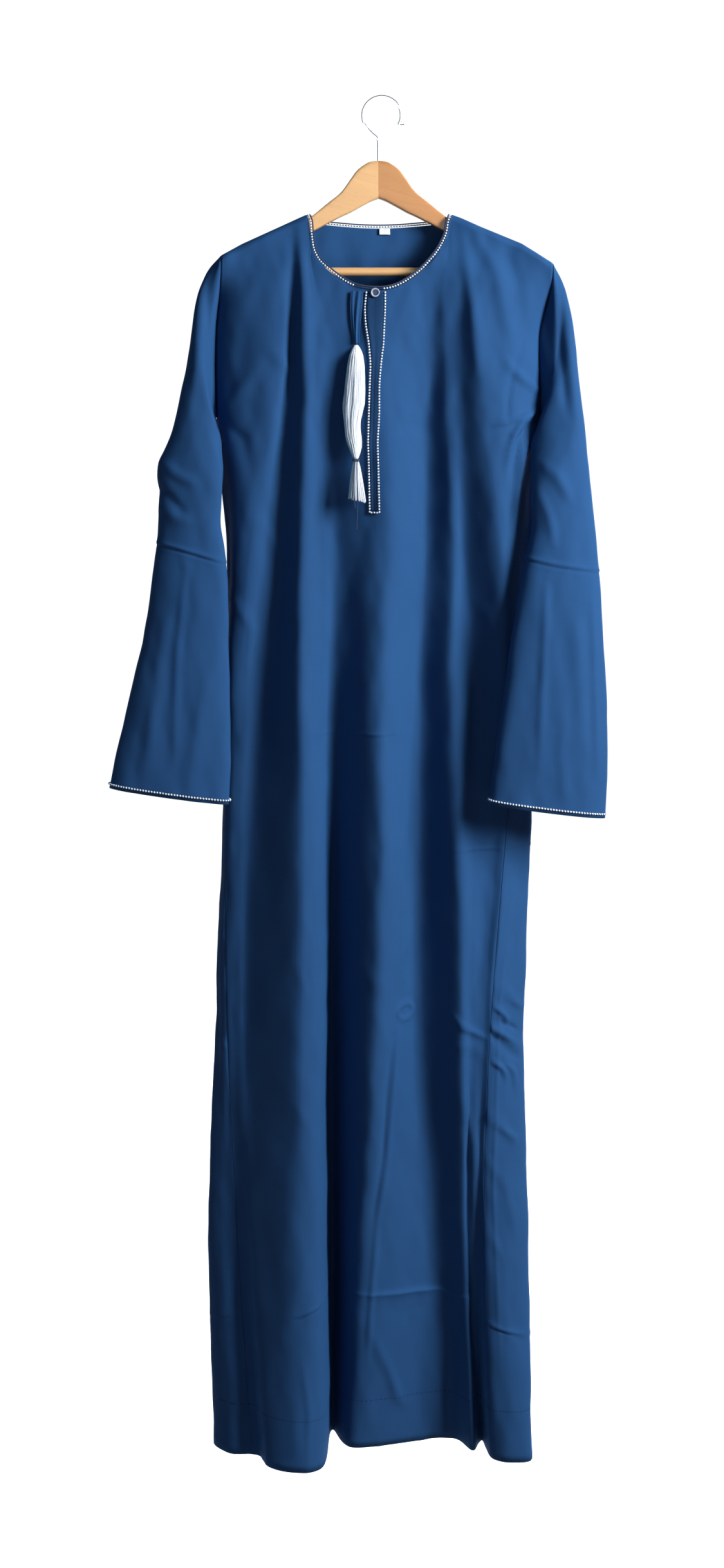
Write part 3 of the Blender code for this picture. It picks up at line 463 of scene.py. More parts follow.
def cotton(name, color, pitch, hem=0.0):
    """Plain-woven dyed cotton: threads, slubs, faint soft creases and, where
    hem is set, a row of stitches that far above the cut edge."""
    paint = Paint(name, Specular_IOR_Level=0.07, Sheen_Weight=0.03, Sheen_Roughness=0.4,
                  Sheen_Tint=shade(color, 3.4))
    cut = paint.cut()
    across, down, _ = paint.split(cut)
    weave = paint.waves(across, pitch) * paint.waves(down, pitch)
    slub = paint.noise(paint.join(across * 900.0, down * 14.0), 1.0, 3.0)
    pick = paint.noise(paint.join(across * 12.0, down * 700.0), 1.0, 3.0)
    cloud = paint.noise(paint.place(), 5.0, 4.0, 0.6)
    rub = paint.noise(paint.place(), 38.0, 3.0, 0.55, 0.4)
    tone = paint.mix(cloud, shade(color, 0.86), shade(color, 1.12))
    tone = paint.mix(slub * 0.30 + pick * 0.22, tone, shade(color, 1.26))
    height = weave * 0.5 + slub * 0.8 + pick * 0.6 + rub * 3.0
    if hem:
        line = abs(down - hem) < 0.0007
        dash = paint.waves(across, 0.0032) > -0.35
        stitch = line * dash
        tone = paint.mix(stitch * 0.55, tone, shade(color, 0.35))
        height = height - line * 3.0 + stitch * 3.5
    paint.set("Base Color", tone)
    paint.set("Roughness", 0.72 + rub * 0.14)
    paint.bump(height, 0.32, 0.00022)
    return paint.material


def thread(name, color, roughness=0.62):
    """Twisted cotton thread: fine slanting plies and slight unevenness."""
    paint = Paint(name, Roughness=roughness, Specular_IOR_Level=0.3, Sheen_Weight=0.2,
                  Sheen_Roughness=0.5)
    x, y, z = paint.split(paint.place())
    fuzz = paint.noise(paint.place(), 900.0, 3.0)
    ply = ((x * 2.2 + z * 3.4 + y * 1.7) * 900.0 + fuzz * 3.0).sine()
    tone = paint.mix(ply * 0.16 + fuzz * 0.35, color, shade(color, 0.80))
    paint.set("Base Color", tone)
    paint.set("Roughness", roughness + fuzz * 0.12)
    paint.bump(ply * 0.6 + fuzz, 0.4, 0.0002)
    return paint.material


def white_thread(piece):
    return thread(piece + "_white_thread", bpy.context.scene.robe_trim.white)


def dark_thread(piece):
    return thread(piece + "_dark_thread", bpy.context.scene.robe_trim.dark, 0.75)


def hanger_wood(name, color, seed):
    """Lacquered beech: long grain, fine flecks and a few darker rings."""
    paint = Paint(name, Specular_IOR_Level=0.45, Coat_Weight=0.28, Coat_Roughness=0.22)
    x, y, z = paint.split(paint.place())
    run = paint.join(x * 6.0 + seed, y * 60.0, z * 60.0 + x * 14.0)
    grain = paint.noise(run, 1.0, 6.0, 0.62, 0.6)
    fleck = paint.noise(paint.join(x * 160.0 + seed, y * 900.0, z * 900.0), 1.0, 2.0)
    ring = ((z * 380.0 + x * 120.0) + grain * 9.0).sine()
    tone = paint.mix(grain, shade(color, 1.10), shade(color, 0.74))
    tone = paint.mix((ring > 0.82) * 0.12, tone, shade(color, 0.70))
    tone = paint.mix((fleck > 0.62) * 0.22, tone, shade(color, 0.62))
    paint.set("Base Color", tone)
    paint.set("Roughness", 0.34 + grain * 0.16)
    paint.bump(grain * 0.8 + fleck * 0.5, 0.16, 0.0003)
    return paint.material


def bright_wire(name, color, roughness):
    """Plated steel wire with fine drawing lines and faint smears."""
    paint = Paint(name, Metallic=1.0)
    smear = paint.noise(paint.place(), 60.0, 3.0)
    line = paint.noise(paint.place(), 1400.0, 2.0)
    paint.set("Base Color", paint.mix(smear * 0.35, color, shade(color, 0.86)))
    paint.set("Roughness", roughness + smear * 0.12)
    paint.bump(line, 0.05, 0.0001)
    return paint.material


def tape(name, color):
    """White woven tape for the blank label."""
    paint = Paint(name, Roughness=0.7, Specular_IOR_Level=0.25)
    across, down, _ = paint.split(paint.cut())
    rib = paint.waves(across, 0.0006) * paint.waves(down, 0.0006)
    soil = paint.noise(paint.place(), 240.0, 3.0)
    paint.set("Base Color", paint.mix(soil * 0.5, color, shade(color, 0.88)))
    paint.set("Roughness", 0.62 + soil * 0.16)
    paint.bump(rib + soil, 0.35, 0.0001)
    return paint.material


def button_gloss(name, color, rim):
    """Semi-gloss button with a pale ring on the crest of its raised rim."""
    paint = Paint(name, Specular_IOR_Level=0.5)
    across, _, _ = paint.split(paint.cut())
    mottle = paint.noise(paint.place(), 700.0, 3.0)
    ring = (abs(across - 0.0044) < 0.00075) * (0.75 + mottle * 0.4)
    paint.set("Base Color", paint.mix(ring, shade(color, 0.9), rim))
    paint.set("Roughness", 0.32 + mottle * 0.2)
    paint.bump(mottle, 0.1, 0.0001)
    return paint.material


def studio_paper(name, color, glow):
    """Pale backdrop paper with a faint tooth, lit so that it reads near white."""
    paint = Paint(name, Roughness=0.95, Specular_IOR_Level=0.1, Emission_Strength=glow)
    tooth = paint.noise(paint.place(), 120.0, 3.0)
    paint.set("Base Color", paint.mix(tooth, color, shade(color, 0.985)))
    paint.set("Emission Color", paint.mix(tooth, color, shade(color, 0.99)))
    return paint.material


# Cloth from level sections

def smooth(t):
    t = np.clip(t, 0.0, 1.0)
    return t * t * (3 - 2 * t)


def along(values, z):
    """What the stations give, read smoothly at heights z."""
    depth = -np.array(STATIONS, float)
    values = np.array(values, float)
    slope = np.gradient(values, depth)
    d = np.clip(-z, depth[0], depth[-1])
    k = np.clip(np.searchsorted(depth, d) - 1, 0, len(depth) - 2)
    h = depth[k + 1] - depth[k]
    t = (d - depth[k]) / h
    start = (2 * t ** 3 - 3 * t ** 2 + 1) * values[k] + (t ** 3 - 2 * t ** 2 + t) * h * slope[k]
    end = (3 * t ** 2 - 2 * t ** 3) * values[k + 1] + (t ** 3 - t ** 2) * h * slope[k + 1]
    return start + end


def fold_lines(points, before, after, counts):
    """Centripetal splines through the folds at every height at once."""
    pts = [before] + list(points) + [after]
    out = [pts[1]]
    for k, count in enumerate(counts):
        p0, p1, p2, p3 = pts[k:k + 4]
        step = [np.maximum(np.linalg.norm(b - a, axis=1), 0.5)[:, None] ** 0.5
                for a, b in ((p0, p1), (p1, p2), (p2, p3))]
        t1 = step[0]
        t2 = t1 + step[1]
        t3 = t2 + step[2]
        for i in range(count):
            t = t1 + (i + 1) / count * (t2 - t1)
            a1 = (t1 - t) / t1 * p0 + t / t1 * p1
            a2 = (t2 - t) / (t2 - t1) * p1 + (t - t1) / (t2 - t1) * p2
            a3 = (t3 - t) / (t3 - t2) * p2 + (t - t2) / (t3 - t2) * p3
            b1 = (t2 - t) / t2 * a1 + t / t2 * a2
            b2 = (t3 - t) / (t3 - t1) * a2 + (t - t1) / (t3 - t1) * a3
            out.append((t2 - t) / (t2 - t1) * b1 + (t - t1) / (t2 - t1) * b2)
    return np.stack(out, axis=1)


def sections(z, finer):
    """Front and back section lines at heights z: height, column, x and y."""
    front = [np.stack((along(x, z), along(y, z)), axis=1) for x, y in FRONT_FOLDS.values()]
    back = [np.stack((along(x, z), along(y, z)), axis=1) for x, y in BACK_FOLDS.values()]
    t = np.clip((ARMHOLE_TOP_Z - z) / (ARMHOLE_TOP_Z - UNDERARM_Z), 0.0, 1.0)
    gap = ARMHOLE_GAP * np.maximum(np.sin(math.pi * t), 0.0) ** 0.7
    lift = np.stack((gap * 0, gap), axis=1)
    seam_r = front[-1] + lift
    seam_l = front[0] + lift
    wrap = (1 - smooth((UNDERARM_Z - z) / WRAP_REACH))[:, None]
    plans = ((back[3].copy(), seam_r, (0, 1, 2), (0.2, 0.42, 0.68)),
             (back[-3].copy(), seam_l, (-1, -2), (0.3, 0.65)))
    for side, seam, order, shares in plans:
        for share, k in zip(shares, order):
            back[k] = back[k] + wrap * (seam + share * (side - seam) - back[k])
    loop = [seam_r] + back + [seam_l]
    counts = [[c * f for c, f in zip(columns, finer[index])]
              for index, columns in enumerate((FRONT_COLUMNS, BACK_COLUMNS))]
    front_line = fold_lines(front, back[-1], back[0], counts[0])
    back_line = fold_lines(loop, front[-2], front[1], counts[1])
    return front_line, back_line


def ridge_z(x):
    return np.interp(x, [p[0] for p in RIDGE], [p[1] for p in RIDGE])


def ridge_y(x):
    return -RIDGE_BEND * (np.minimum(np.abs(x), SHOULDER_REACH) / SHOULDER_REACH) ** 2


def eased(points, finer):
    """A polyline with finer steps on a smooth curve through its points."""
    pts = np.array(points, float)
    steps = [finer] * (len(pts) - 1) if isinstance(finer, int) else finer
    pts = np.vstack((2 * pts[0] - pts[1], pts, 2 * pts[-1] - pts[-2]))
    out = [pts[1]]
    for k in range(len(pts) - 3):
        a, b, c, d = pts[k:k + 4]
        for i in range(steps[k]):
            t = (i + 1) / steps[k]
            out.append(0.5 * (2 * b + (c - a) * t + (2 * a - 5 * b + 4 * c - d) * t ** 2
                              + (3 * b - a - 3 * c + d) * t ** 3))
    return np.array(out)


def top_edge(tops, counts, neck, line, finer):
    """Top edge of a panel, one x, z point for each column."""
    out = [tops[0]]
    for k, count in enumerate(counts):
        if k == neck[0]:
            steps = [finer[n] for n in range(*neck) for _ in range(counts[n])]
            out += [tuple(p) for p in eased(line, steps)[1:]]
        if neck[0] <= k < neck[1]:
            continue
        for i in range(count * finer[k]):
            x = tops[k][0] + (i + 1) / (count * finer[k]) * (tops[k + 1][0] - tops[k][0])
            out.append((x, float(ridge_z(x))))
    return np.array(out, float)


def row_heights():
    """Heights of the rows below the underarm, closer together at creases."""
    fine = np.linspace(UNDERARM_Z, HEM_Z, 1500)
    density = np.full(len(fine), 1 / ROW_STEP)
    for z in CREASE_HEIGHTS:
        density = density + (1 / CREASE_ROW_STEP - 1 / ROW_STEP) * np.exp(-((fine - z) / 9) ** 2)
    total = np.concatenate(([0], np.cumsum(density[1:] * np.abs(np.diff(fine)))))
    return np.interp(np.linspace(0, total[-1], int(total[-1]) + 1), total, fine)


def panel_points(index, finer, upper_steps, lower_z, ridge_seam):
    """Rows of points of a panel's middle surface, from its top edge to the hem."""
    plan = ((FRONT_TOPS, FRONT_COLUMNS, FRONT_NECK, FRONT_NECKLINE, -1),
            (BACK_TOPS, BACK_COLUMNS, BACK_NECK, BACK_NECKLINE, 1))[index]
    tops, counts, neck, line, side = plan
    edge = top_edge(tops, counts, neck, line, finer[index])
    pace = np.arange(0, (len(UPPER_ROWS) - 1) * upper_steps + 1) / upper_steps
    shares = np.interp(pace, range(len(UPPER_ROWS)), UPPER_ROWS)
    levels = np.arange(NECK_Z, UNDERARM_Z - 3.1, -3.0)
    table = sections(levels, finer)[index]
    z = edge[:, 1] + shares[:, None] * (UNDERARM_Z - edge[:, 1])
    place = np.clip((NECK_Z - z) / 3.0, 0, len(levels) - 1.001)
    low = place.astype(int)
    part = (place - low)[..., None]
    column = np.arange(len(edge))[None, :]
    found = table[low, column] * (1 - part) + table[low + 1, column] * part
    x = edge[:, 0] + smooth((edge[:, 1] - z) / TOP_BLEND) * (found[..., 0] - edge[:, 0])
    drop = np.maximum(ridge_z(x) - z, 0.0)
    t = np.minimum(drop / RIDGE_DEPTH, 1.0)
    roll = ridge_seam + (RIDGE_ROLL - ridge_seam) * np.sqrt(1 - (1 - t) ** 2)
    near = ridge_y(x) + side * roll
    y = near + smooth((drop - 5) / RIDGE_BLEND) * (found[..., 1] - near)
    upper = np.stack((x, y, z), axis=-1)
    lines = sections(lower_z[1:], finer)[index]
    height = np.broadcast_to(lower_z[1:, None], lines.shape[:2])
    lower = np.concatenate((lines, height[..., None]), axis=-1)
    return np.concatenate((upper, lower))


def unit(v):
    return v / np.maximum(np.linalg.norm(v, axis=-1, keepdims=True), 1e-9)


def normals(grid, closed):
    """Unit normals of a grid of points."""
    down = np.gradient(grid, axis=0)
    if closed:
        across = np.roll(grid, -1, axis=1) - np.roll(grid, 1, axis=1)
    else:
        across = np.gradient(grid, axis=1)
    return unit(np.cross(across, down))


def crease_shift(grid, creases):
    """How far each point stands out for the creases that pass near it."""
    x, z = grid[..., 0], grid[..., 2]
    shift = np.zeros(x.shape)
    for _, path, depth, width, *look in creases:
        best = np.full(x.shape, 1e9)
        signed = np.zeros(x.shape)
        place = np.zeros(x.shape)
        points = np.array(path, float)
        runs = np.linalg.norm(np.diff(points, axis=0), axis=1)
        total = runs.sum()
        walked = 0.0
        for a, b, run in zip(points, points[1:], runs):
            ux, uz = (b - a) / run
            s = np.clip((x - a[0]) * ux + (z - a[1]) * uz, 0, run)
            dx = x - a[0] - s * ux
            dz = z - a[1] - s * uz
            d = np.hypot(dx, dz)
            nearer = d < best
            best = np.where(nearer, d, best)
            signed = np.where(nearer, ux * dz - uz * dx, signed)
            place = np.where(nearer, (walked + s) / total, place)
            walked += run
        fade = np.clip(np.sin(math.pi * np.clip(place, 0.02, 0.98)), 0, 1) ** 0.45
        if "step" in look:
            form = np.exp(-np.maximum(signed, -0.35 * signed) / width) * (best < 7 * width)
        elif "fold" in look:
            hollow = np.exp(-((signed + width) / (0.8 * width)) ** 2) * (best < 3 * width)
            form = np.exp(-np.abs(signed) / width) * (best < 4 * width) - 0.55 * hollow
        else:
            form = np.exp(-(best / width) ** 2)
        shift += depth * fade * form
    return shift


def wrinkle_shift(grid, seed, height):
    """Soft unevenness that hanging cotton keeps, longer down than across."""
    x, z = grid[..., 0], grid[..., 2]
    chance = np.random.default_rng(seed)
    shift = np.zeros(x.shape)
    for wide, long, share in ((64, 300, 1.0), (41, 210, 0.8), (27, 120, 0.5),
                              (90, 95, 0.55), (33, 46, 0.28), (17, 60, 0.22)):
        turn = chance.uniform(-0.5, 0.5)
        start = chance.uniform(0, ROUND, 3)
        u = x + turn * 0.22 * z
        bend = 0.9 * np.sin(ROUND * z / (long * 1.7) + start[1])
        across = np.sin(ROUND * u / wide + start[0] + bend)
        shift += share * across * np.sin(ROUND * z / long + start[2])
    return shift * height


def seam_room(run_in, run_out, wall):
    """Length to take off each side of a seam where the cloth turns."""
    dot = np.clip((unit(run_in) * unit(run_out)).sum(-1), -1.0, 1.0)
    turn = np.minimum(np.arccos(dot), 1.9)
    return (SEAM / 2 + np.minimum(np.tan(turn / 2) * wall / 2, 0.45) + 0.02)[..., None]


def open_side_seams(front, back, upper, wall):
    """Parts the two panels a little along both side seams."""
    for f_end, f_in, b_end, b_in in ((0, 1, -1, -2), (-1, -2, 0, 1)):
        run_in = front[upper:, f_end] - front[upper:, f_in]
        run_out = back[upper:, b_in] - back[upper:, b_end]
        room = seam_room(run_in, run_out, wall)
        most = 0.45 * np.minimum(np.linalg.norm(run_in, axis=1),
                                 np.linalg.norm(run_out, axis=1))[:, None]
        room = np.minimum(room, most)
        front[upper:, f_end] -= unit(run_in) * room
        back[upper:, b_end] += unit(run_out) * room


def armhole_ring(front, back, ends, upper, next_ring, wall):
    """Middle line of the armhole, moved off the panels' edges by the seam."""
    f_end, f_in, b_end, b_in = ends
    out = np.array((math.copysign(1.0, front[0, f_end, 0]), 0, 0))
    edge = [(front[k, f_end], front[k, f_in]) for k in range(upper + 1)]
    edge += [(back[k, b_end], back[k, b_in]) for k in range(upper - 1, 0, -1)]
    edge[0] = ((front[0, f_end] + back[0, b_end]) / 2, (front[0, f_in] + back[0, b_in]) / 2)
    bottom = (front[upper, f_end] + back[upper, b_end]) / 2 + np.array((0, 0, 1.5))
    edge[upper] = (bottom, bottom - out)
    ring = []
    for k, (place, inner) in enumerate(edge):
        run = unit(edge[(k + 1) % len(edge)][0] - edge[k - 1][0])
        ways = []
        for way in (place - inner, next_ring[k] - place):
            ways.append(unit(way - run * np.dot(run, way)))
        room = float(seam_room(ways[0], ways[1], wall)[0])
        ring.append(place + unit(ways[0] + ways[1]) * (2 * room + 0.1))
    return np.array(ring)


def sleeve_rings(table, half_count):
    """Rings of a sleeve's middle surface below the armhole, down to the cuff."""
    rings = []
    for row, (x_out, z_out, x_in, z_in, y_mid, half) in enumerate(table):
        lean = SLEEVE_LEAN * min(row / 5, 1.0)
        k = np.arange(2 * half_count)
        share = (1 - np.cos(k / half_count * math.pi)) / 2
        side = np.where(k < half_count, -1, 1)
        lift = np.maximum(0.0, 1 - (2 * share - 1) ** 2) ** 0.4
        rings.append(np.stack((x_out + share * (x_in - x_out),
                               y_mid + side * half * lift - lean * (share - 0.5),
                               z_out + share * (z_in - z_out)), axis=1))
    return rings


def make_cloth_grids(wall):
    """Every cut piece of the robe as a grid of points, before the creases are pressed in."""
    finer = (FRONT_FINER, BACK_FINER)
    upper = (len(UPPER_ROWS) - 1) * UPPER_STEPS
    heights = row_heights()
    front, back = (panel_points(k, finer, UPPER_STEPS, heights, (wall + SEAM) / 2)
                   for k in (0, 1))
    open_side_seams(front, back, upper, wall)
    sleeves = []
    for table, ends, fold in ((SLEEVE_L, (0, 1, -1, -2), 9), (SLEEVE_R, (-1, -2, 0, 1), 8)):
        rings = sleeve_rings(table, upper)
        rings.insert(0, armhole_ring(front, back, ends, upper, rings[0], wall))
        pace = [SLEEVE_FOLD_STEPS if k == fold else SLEEVE_STEPS for k in range(len(rings) - 1)]
        rows = eased(np.array(rings).reshape(len(rings), -1), pace)
        sleeves.append(rows.reshape(len(rows), -1, 3))
    return front, back, sleeves


def edge_fade(grid, closed, top_rows, side_columns):
    """1 inside a piece, falling to 0 at the seams that must not move."""
    rows, columns = grid.shape[:2]
    fade = smooth(np.arange(rows) / top_rows)[:, None] * np.ones(columns)[None, :]
    if not closed:
        k = np.arange(columns)
        fade = fade * smooth(np.minimum(k, columns - 1 - k) / side_columns)[None, :]
    return fade


def crease_cloth(front, back, sleeves, crease_height, wrinkle_height):
    """Presses the creases and wrinkles into the grids."""
    away = np.hypot(front[..., 0] - BUTTON_MARK[0], front[..., 2] - BUTTON_MARK[1])
    mark = 1.3 * np.exp(-((away - BUTTON_MARK_RADIUS) / 2.3) ** 2)
    for grid, creases, extra, seed, side in ((front, FRONT_CREASES, mark, 5, -1),
                                             (back, BACK_CREASES, 0, 11, 1)):
        out = normals(grid, False)
        sign = np.sign(np.median(out[..., 1]) * side)
        shift = crease_height * (crease_shift(grid, creases) + extra)
        shift += wrinkle_shift(grid, seed, wrinkle_height)
        shift *= edge_fade(grid, False, 14, 3)
        grid += out * (sign * shift)[..., None]
    for grid, creases, seed in zip(sleeves, (SLEEVE_L_CREASES, SLEEVE_R_CREASES), (21, 34)):
        out = normals(grid, True)
        centre = grid.mean(axis=1, keepdims=True)
        sign = np.sign(np.median(((grid - centre) * out).sum(-1)))
        shift = crease_height * crease_shift(grid, creases)
        shift += wrinkle_shift(grid, seed, wrinkle_height * 0.8)
        shift *= edge_fade(grid, True, 16, 1)
        grid += out * (sign * shift)[..., None]


# Meshes

def link(thing):
    bpy.context.scene.collection.objects.link(thing)
    return thing


def finish_piece(thing, material, slot, *nodes):
    """Gives a piece its material, its place on the body and the nodes it stands for."""
    thing.data.materials.clear()
    thing.data.materials.append(material)
    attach(thing, "root")
    if nodes:
        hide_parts(*nodes)
    return thing


def grid_object(name, grid, closed, wall, cut=None):
    """A sheet from a grid of points in millimetres, thickened to a wall."""
    rows, columns = grid.shape[:2]
    i = np.arange(rows - 1)[:, None]
    j = np.arange(columns if closed else columns - 1)[None, :]
    k = (j + 1) % columns
    faces = np.stack([(i * columns + j), (i * columns + k), ((i + 1) * columns + k),
                      ((i + 1) * columns + j)], axis=-1).reshape(-1, 4)
    mesh = bpy.data.meshes.new(name)
    mesh.from_pydata((grid.reshape(-1, 3) * MM).tolist(), [], faces.tolist())
    layer = mesh.uv_layers.new(name="cut")
    if cut is None:
        cut = cut_places(grid)
    places = cut.reshape(-1, 2)
    loops = np.zeros(len(mesh.loops), int)
    mesh.loops.foreach_get("vertex_index", loops)
    layer.data.foreach_set("uv", places[loops].ravel())
    mesh.shade_smooth()
    mesh.update()
    thing = link(bpy.data.objects.new(name, mesh))
    if wall:
        solid = thing.modifiers.new("cloth wall", "SOLIDIFY")
        solid.thickness = wall * MM
        solid.offset = 0.0
    return thing


def cut_places(grid):
    """Place of each point on the flat cut in metres: across, and up from the edge."""
    middle = grid[len(grid) // 2]
    across = np.concatenate(([0], np.cumsum(np.linalg.norm(np.diff(middle, axis=0), axis=1))))
    down = np.linalg.norm(np.diff(grid, axis=0), axis=2)
    up = np.concatenate((np.cumsum(down[::-1], axis=0)[::-1], np.zeros((1, grid.shape[1]))))
    wide = np.broadcast_to(across, grid.shape[:2])
    return np.stack((wide, up), axis=-1) * MM


def tree_of(grid):
    """Ray target for a panel's middle surface, in millimetres."""
    rows, columns = grid.shape[:2]
    points = [Vector(p) for p in grid.reshape(-1, 3)]
    faces = []
    for i in range(rows - 1):
        for j in range(columns - 1):
            a = i * columns + j
            faces.append((a, a + 1, a + columns + 1, a + columns))
    return BVHTree.FromPolygons(points, faces)


def lying(tree, x, z, lift):
    """Point that far off the front of a panel."""
    place, normal, _, _ = tree.ray_cast(Vector((x, -400, z)), Vector((0, 1, 0)))
    return np.array((x, place.y - lift / max(abs(normal.y), 0.5), z))


def resampled(path, step, closed):
    """Points an even step apart along a path."""
    pts = np.array(path, float)
    if closed:
        pts = np.vstack((pts, pts[:1]))
    walked = np.concatenate(([0], np.cumsum(np.linalg.norm(np.diff(pts, axis=0), axis=1))))
    count = max(int(round(walked[-1] / step)), 2)
    at = np.linspace(0, walked[-1], count, endpoint=not closed)
    return np.stack([np.interp(at, walked, pts[:, k]) for k in range(3)], axis=1)


def circle_points(count):
    """Angles of points an even step apart round a circle."""
    return np.linspace(0, ROUND, count, endpoint=False)


def close_holes(thing, merge=0.0):
    """Fills a mesh's open ends, after merging close points, and turns its faces out."""
    bm = bmesh.new()
    bm.from_mesh(thing.data)
    if merge:
        bmesh.ops.remove_doubles(bm, verts=bm.verts, dist=merge)
    bmesh.ops.holes_fill(bm, edges=[e for e in bm.edges if e.is_boundary])
    bmesh.ops.recalc_face_normals(bm, faces=bm.faces)
    bm.to_mesh(thing.data)
    bm.free()


def tube(name, path, radius, closed=False, sides=2):
    """Round cord along a path of millimetre points, as a bevelled curve made a mesh.
    A list of paths makes one cord of each."""
    curve = bpy.data.curves.new(name, "CURVE")
    curve.dimensions = "3D"
    curve.bevel_depth = radius * MM
    curve.bevel_resolution = sides
    curve.use_fill_caps = True
    paths = path if isinstance(path, list) else [path]
    for points in paths:
        spline = curve.splines.new("POLY")
        spline.points.add(len(points) - 1)
        spline.points.foreach_set("co", np.hstack((np.array(points) * MM,
                                                   np.ones((len(points), 1)))).ravel())
        spline.use_cyclic_u = closed
    rough = bpy.data.objects.new(name + "_line", curve)
    link(rough)
    depsgraph = bpy.context.evaluated_depsgraph_get()
    mesh = bpy.data.meshes.new_from_object(rough.evaluated_get(depsgraph))
    bpy.data.objects.remove(rough)
    mesh.name = name
    mesh.shade_smooth()
    return link(bpy.data.objects.new(name, mesh))


def stitch_row(name, path, trim, closed=False, skip=None):
    """White stitches side by side along a path, each a small plump thread loop."""
    centres = resampled(path, trim.stitch_pitch / MM, closed)
    runs = np.roll(centres, -1, axis=0) - np.roll(centres, 1, axis=0)
    if not closed:
        runs[0] = centres[1] - centres[0]
        runs[-1] = centres[-1] - centres[-2]
    runs = unit(runs)
    bm = bmesh.new()
    chance = np.random.default_rng(len(centres))
    for centre, run in zip(centres, runs):
        if skip and skip(centre):
            continue
        tilt = math.radians(16.0 + chance.uniform(-6, 6))
        side = unit(np.cross(run, (0, -1, 0)))
        way = Vector(run * math.cos(tilt) + side * math.sin(tilt))
        made = bmesh.ops.create_uvsphere(bm, u_segments=7, v_segments=5, radius=1.0)["verts"]
        turn = way.to_track_quat("Z", "Y").to_matrix().to_4x4()
        long = trim.stitch_length / MM / 2 * chance.uniform(0.92, 1.05)
        for v in made:
            v.co = turn @ Vector((v.co.x * STITCH_RADIUS, v.co.y * STITCH_RADIUS,
                                  v.co.z * long))
            v.co = (v.co + Vector(centre)) * MM
    mesh = bpy.data.meshes.new(name)
    bm.to_mesh(mesh)
    bm.free()
    mesh.shade_smooth()
    return link(bpy.data.objects.new(name, mesh))


def joined(name, *things):
    """One object out of several meshes, with their places kept."""
    bm = bmesh.new()
    for thing in things:
        bm.from_mesh(thing.data)
        bpy.data.objects.remove(thing)
    mesh = bpy.data.meshes.new(name)
    bm.to_mesh(mesh)
    bm.free()
    mesh.shade_smooth()
    return link(bpy.data.objects.new(name, mesh))


# What the operators share

CLOTH = {}


def cloth_ready():
    """The creased grids, made once from the panel's settings."""
    if not CLOTH:
        settings = bpy.context.scene.robe_cloth
        wall = settings.wall / MM
        front, back, sleeves = make_cloth_grids(wall)
        plain = [grid.copy() for grid in (front, back, *sleeves)]
        crease_cloth(front, back, sleeves, settings.crease_height, settings.wrinkle_height / MM)
        CLOTH.update(front=front, back=back, left=sleeves[0], right=sleeves[1], wall=wall,
                     plain=plain, tree=tree_of(front))
    return CLOTH


def neck_loop():
    """Neck edge at the CAD's own pitch, with the way off the cloth's edge."""
    heights = np.array((UNDERARM_Z, UNDERARM_Z - 10))
    plain = ((1,) * len(FRONT_COLUMNS), (1,) * len(BACK_COLUMNS))
    front = panel_points(0, plain, 1, heights, 0.5)[0]
    back = panel_points(1, plain, 1, heights, 0.5)[0]
    a, b = sum(FRONT_COLUMNS[:FRONT_NECK[0]]), sum(FRONT_COLUMNS[:FRONT_NECK[1]])
    c, d = sum(BACK_COLUMNS[:BACK_NECK[0]]), sum(BACK_COLUMNS[:BACK_NECK[1]])
    front_edge, back_edge = front[a:b + 1], back[c:d + 1]
    corner_l = (front_edge[0] + back_edge[-1]) / 2
    corner_r = (front_edge[-1] + back_edge[0]) / 2
    loop = [corner_l, *front_edge[1:-1], corner_r, *back_edge[1:-1]]
    inner = len(back_edge) - 2
    aims = [-120.0] + [-165.0] * (len(front_edge) - 2) + [-120.0]
    aims += [-135.0 if k in (0, inner - 1) else -60.0 for k in range(inner)]
    ways = []
    for k, place in enumerate(loop):
        run = unit(loop[(k + 1) % len(loop)] - loop[k - 1])
        way = np.array((1, place[1], aims[k])) - place
        ways.append(unit(way - run * np.dot(run, way)))
    return np.array(loop), np.array(ways)


def round_loop(points, finer):
    """Smooth closed curve through points."""
    wide = np.vstack((points[-2:], points, points[:2]))
    return eased(wide, finer)[2 * finer:-(3 * finer)]


# Sizes and colours a user would change

def color_property(name, description, default):
    return bpy.props.FloatVectorProperty(name=name, description=description, subtype="COLOR",
                                         size=4, min=0.0, max=1.0, default=default)


def length_property(name, description, default, low, high):
    return bpy.props.FloatProperty(name=name, description=description, default=default, min=low,
                                   max=high, precision=4, subtype="DISTANCE", unit="LENGTH")


def power_property(name, description, default):
    return bpy.props.FloatProperty(name=name, description=description, default=default,
                                   min=0.0, max=2000.0, unit="POWER")


class RobeClothSettings(bpy.types.PropertyGroup):
    color: color_property("Cotton", "Colour of the dyed cotton", (0.0160, 0.0655, 0.178, 1.0))
    wall: length_property("Cloth thickness", "Thickness of each sheet of cloth",
                          0.0012, 0.0004, 0.002)
    pitch: length_property("Thread pitch", "Distance between threads of the weave",
                           0.0008, 0.0003, 0.003)
    crease_height: bpy.props.FloatProperty(
        name="Crease height", description="Share of the creases' own heights that is used",
        default=1.5, min=0.0, max=2.0, subtype="FACTOR")
    wrinkle_height: length_property("Wrinkle height", "Height of the cloth's soft unevenness",
                                    0.0006, 0.0, 0.003)


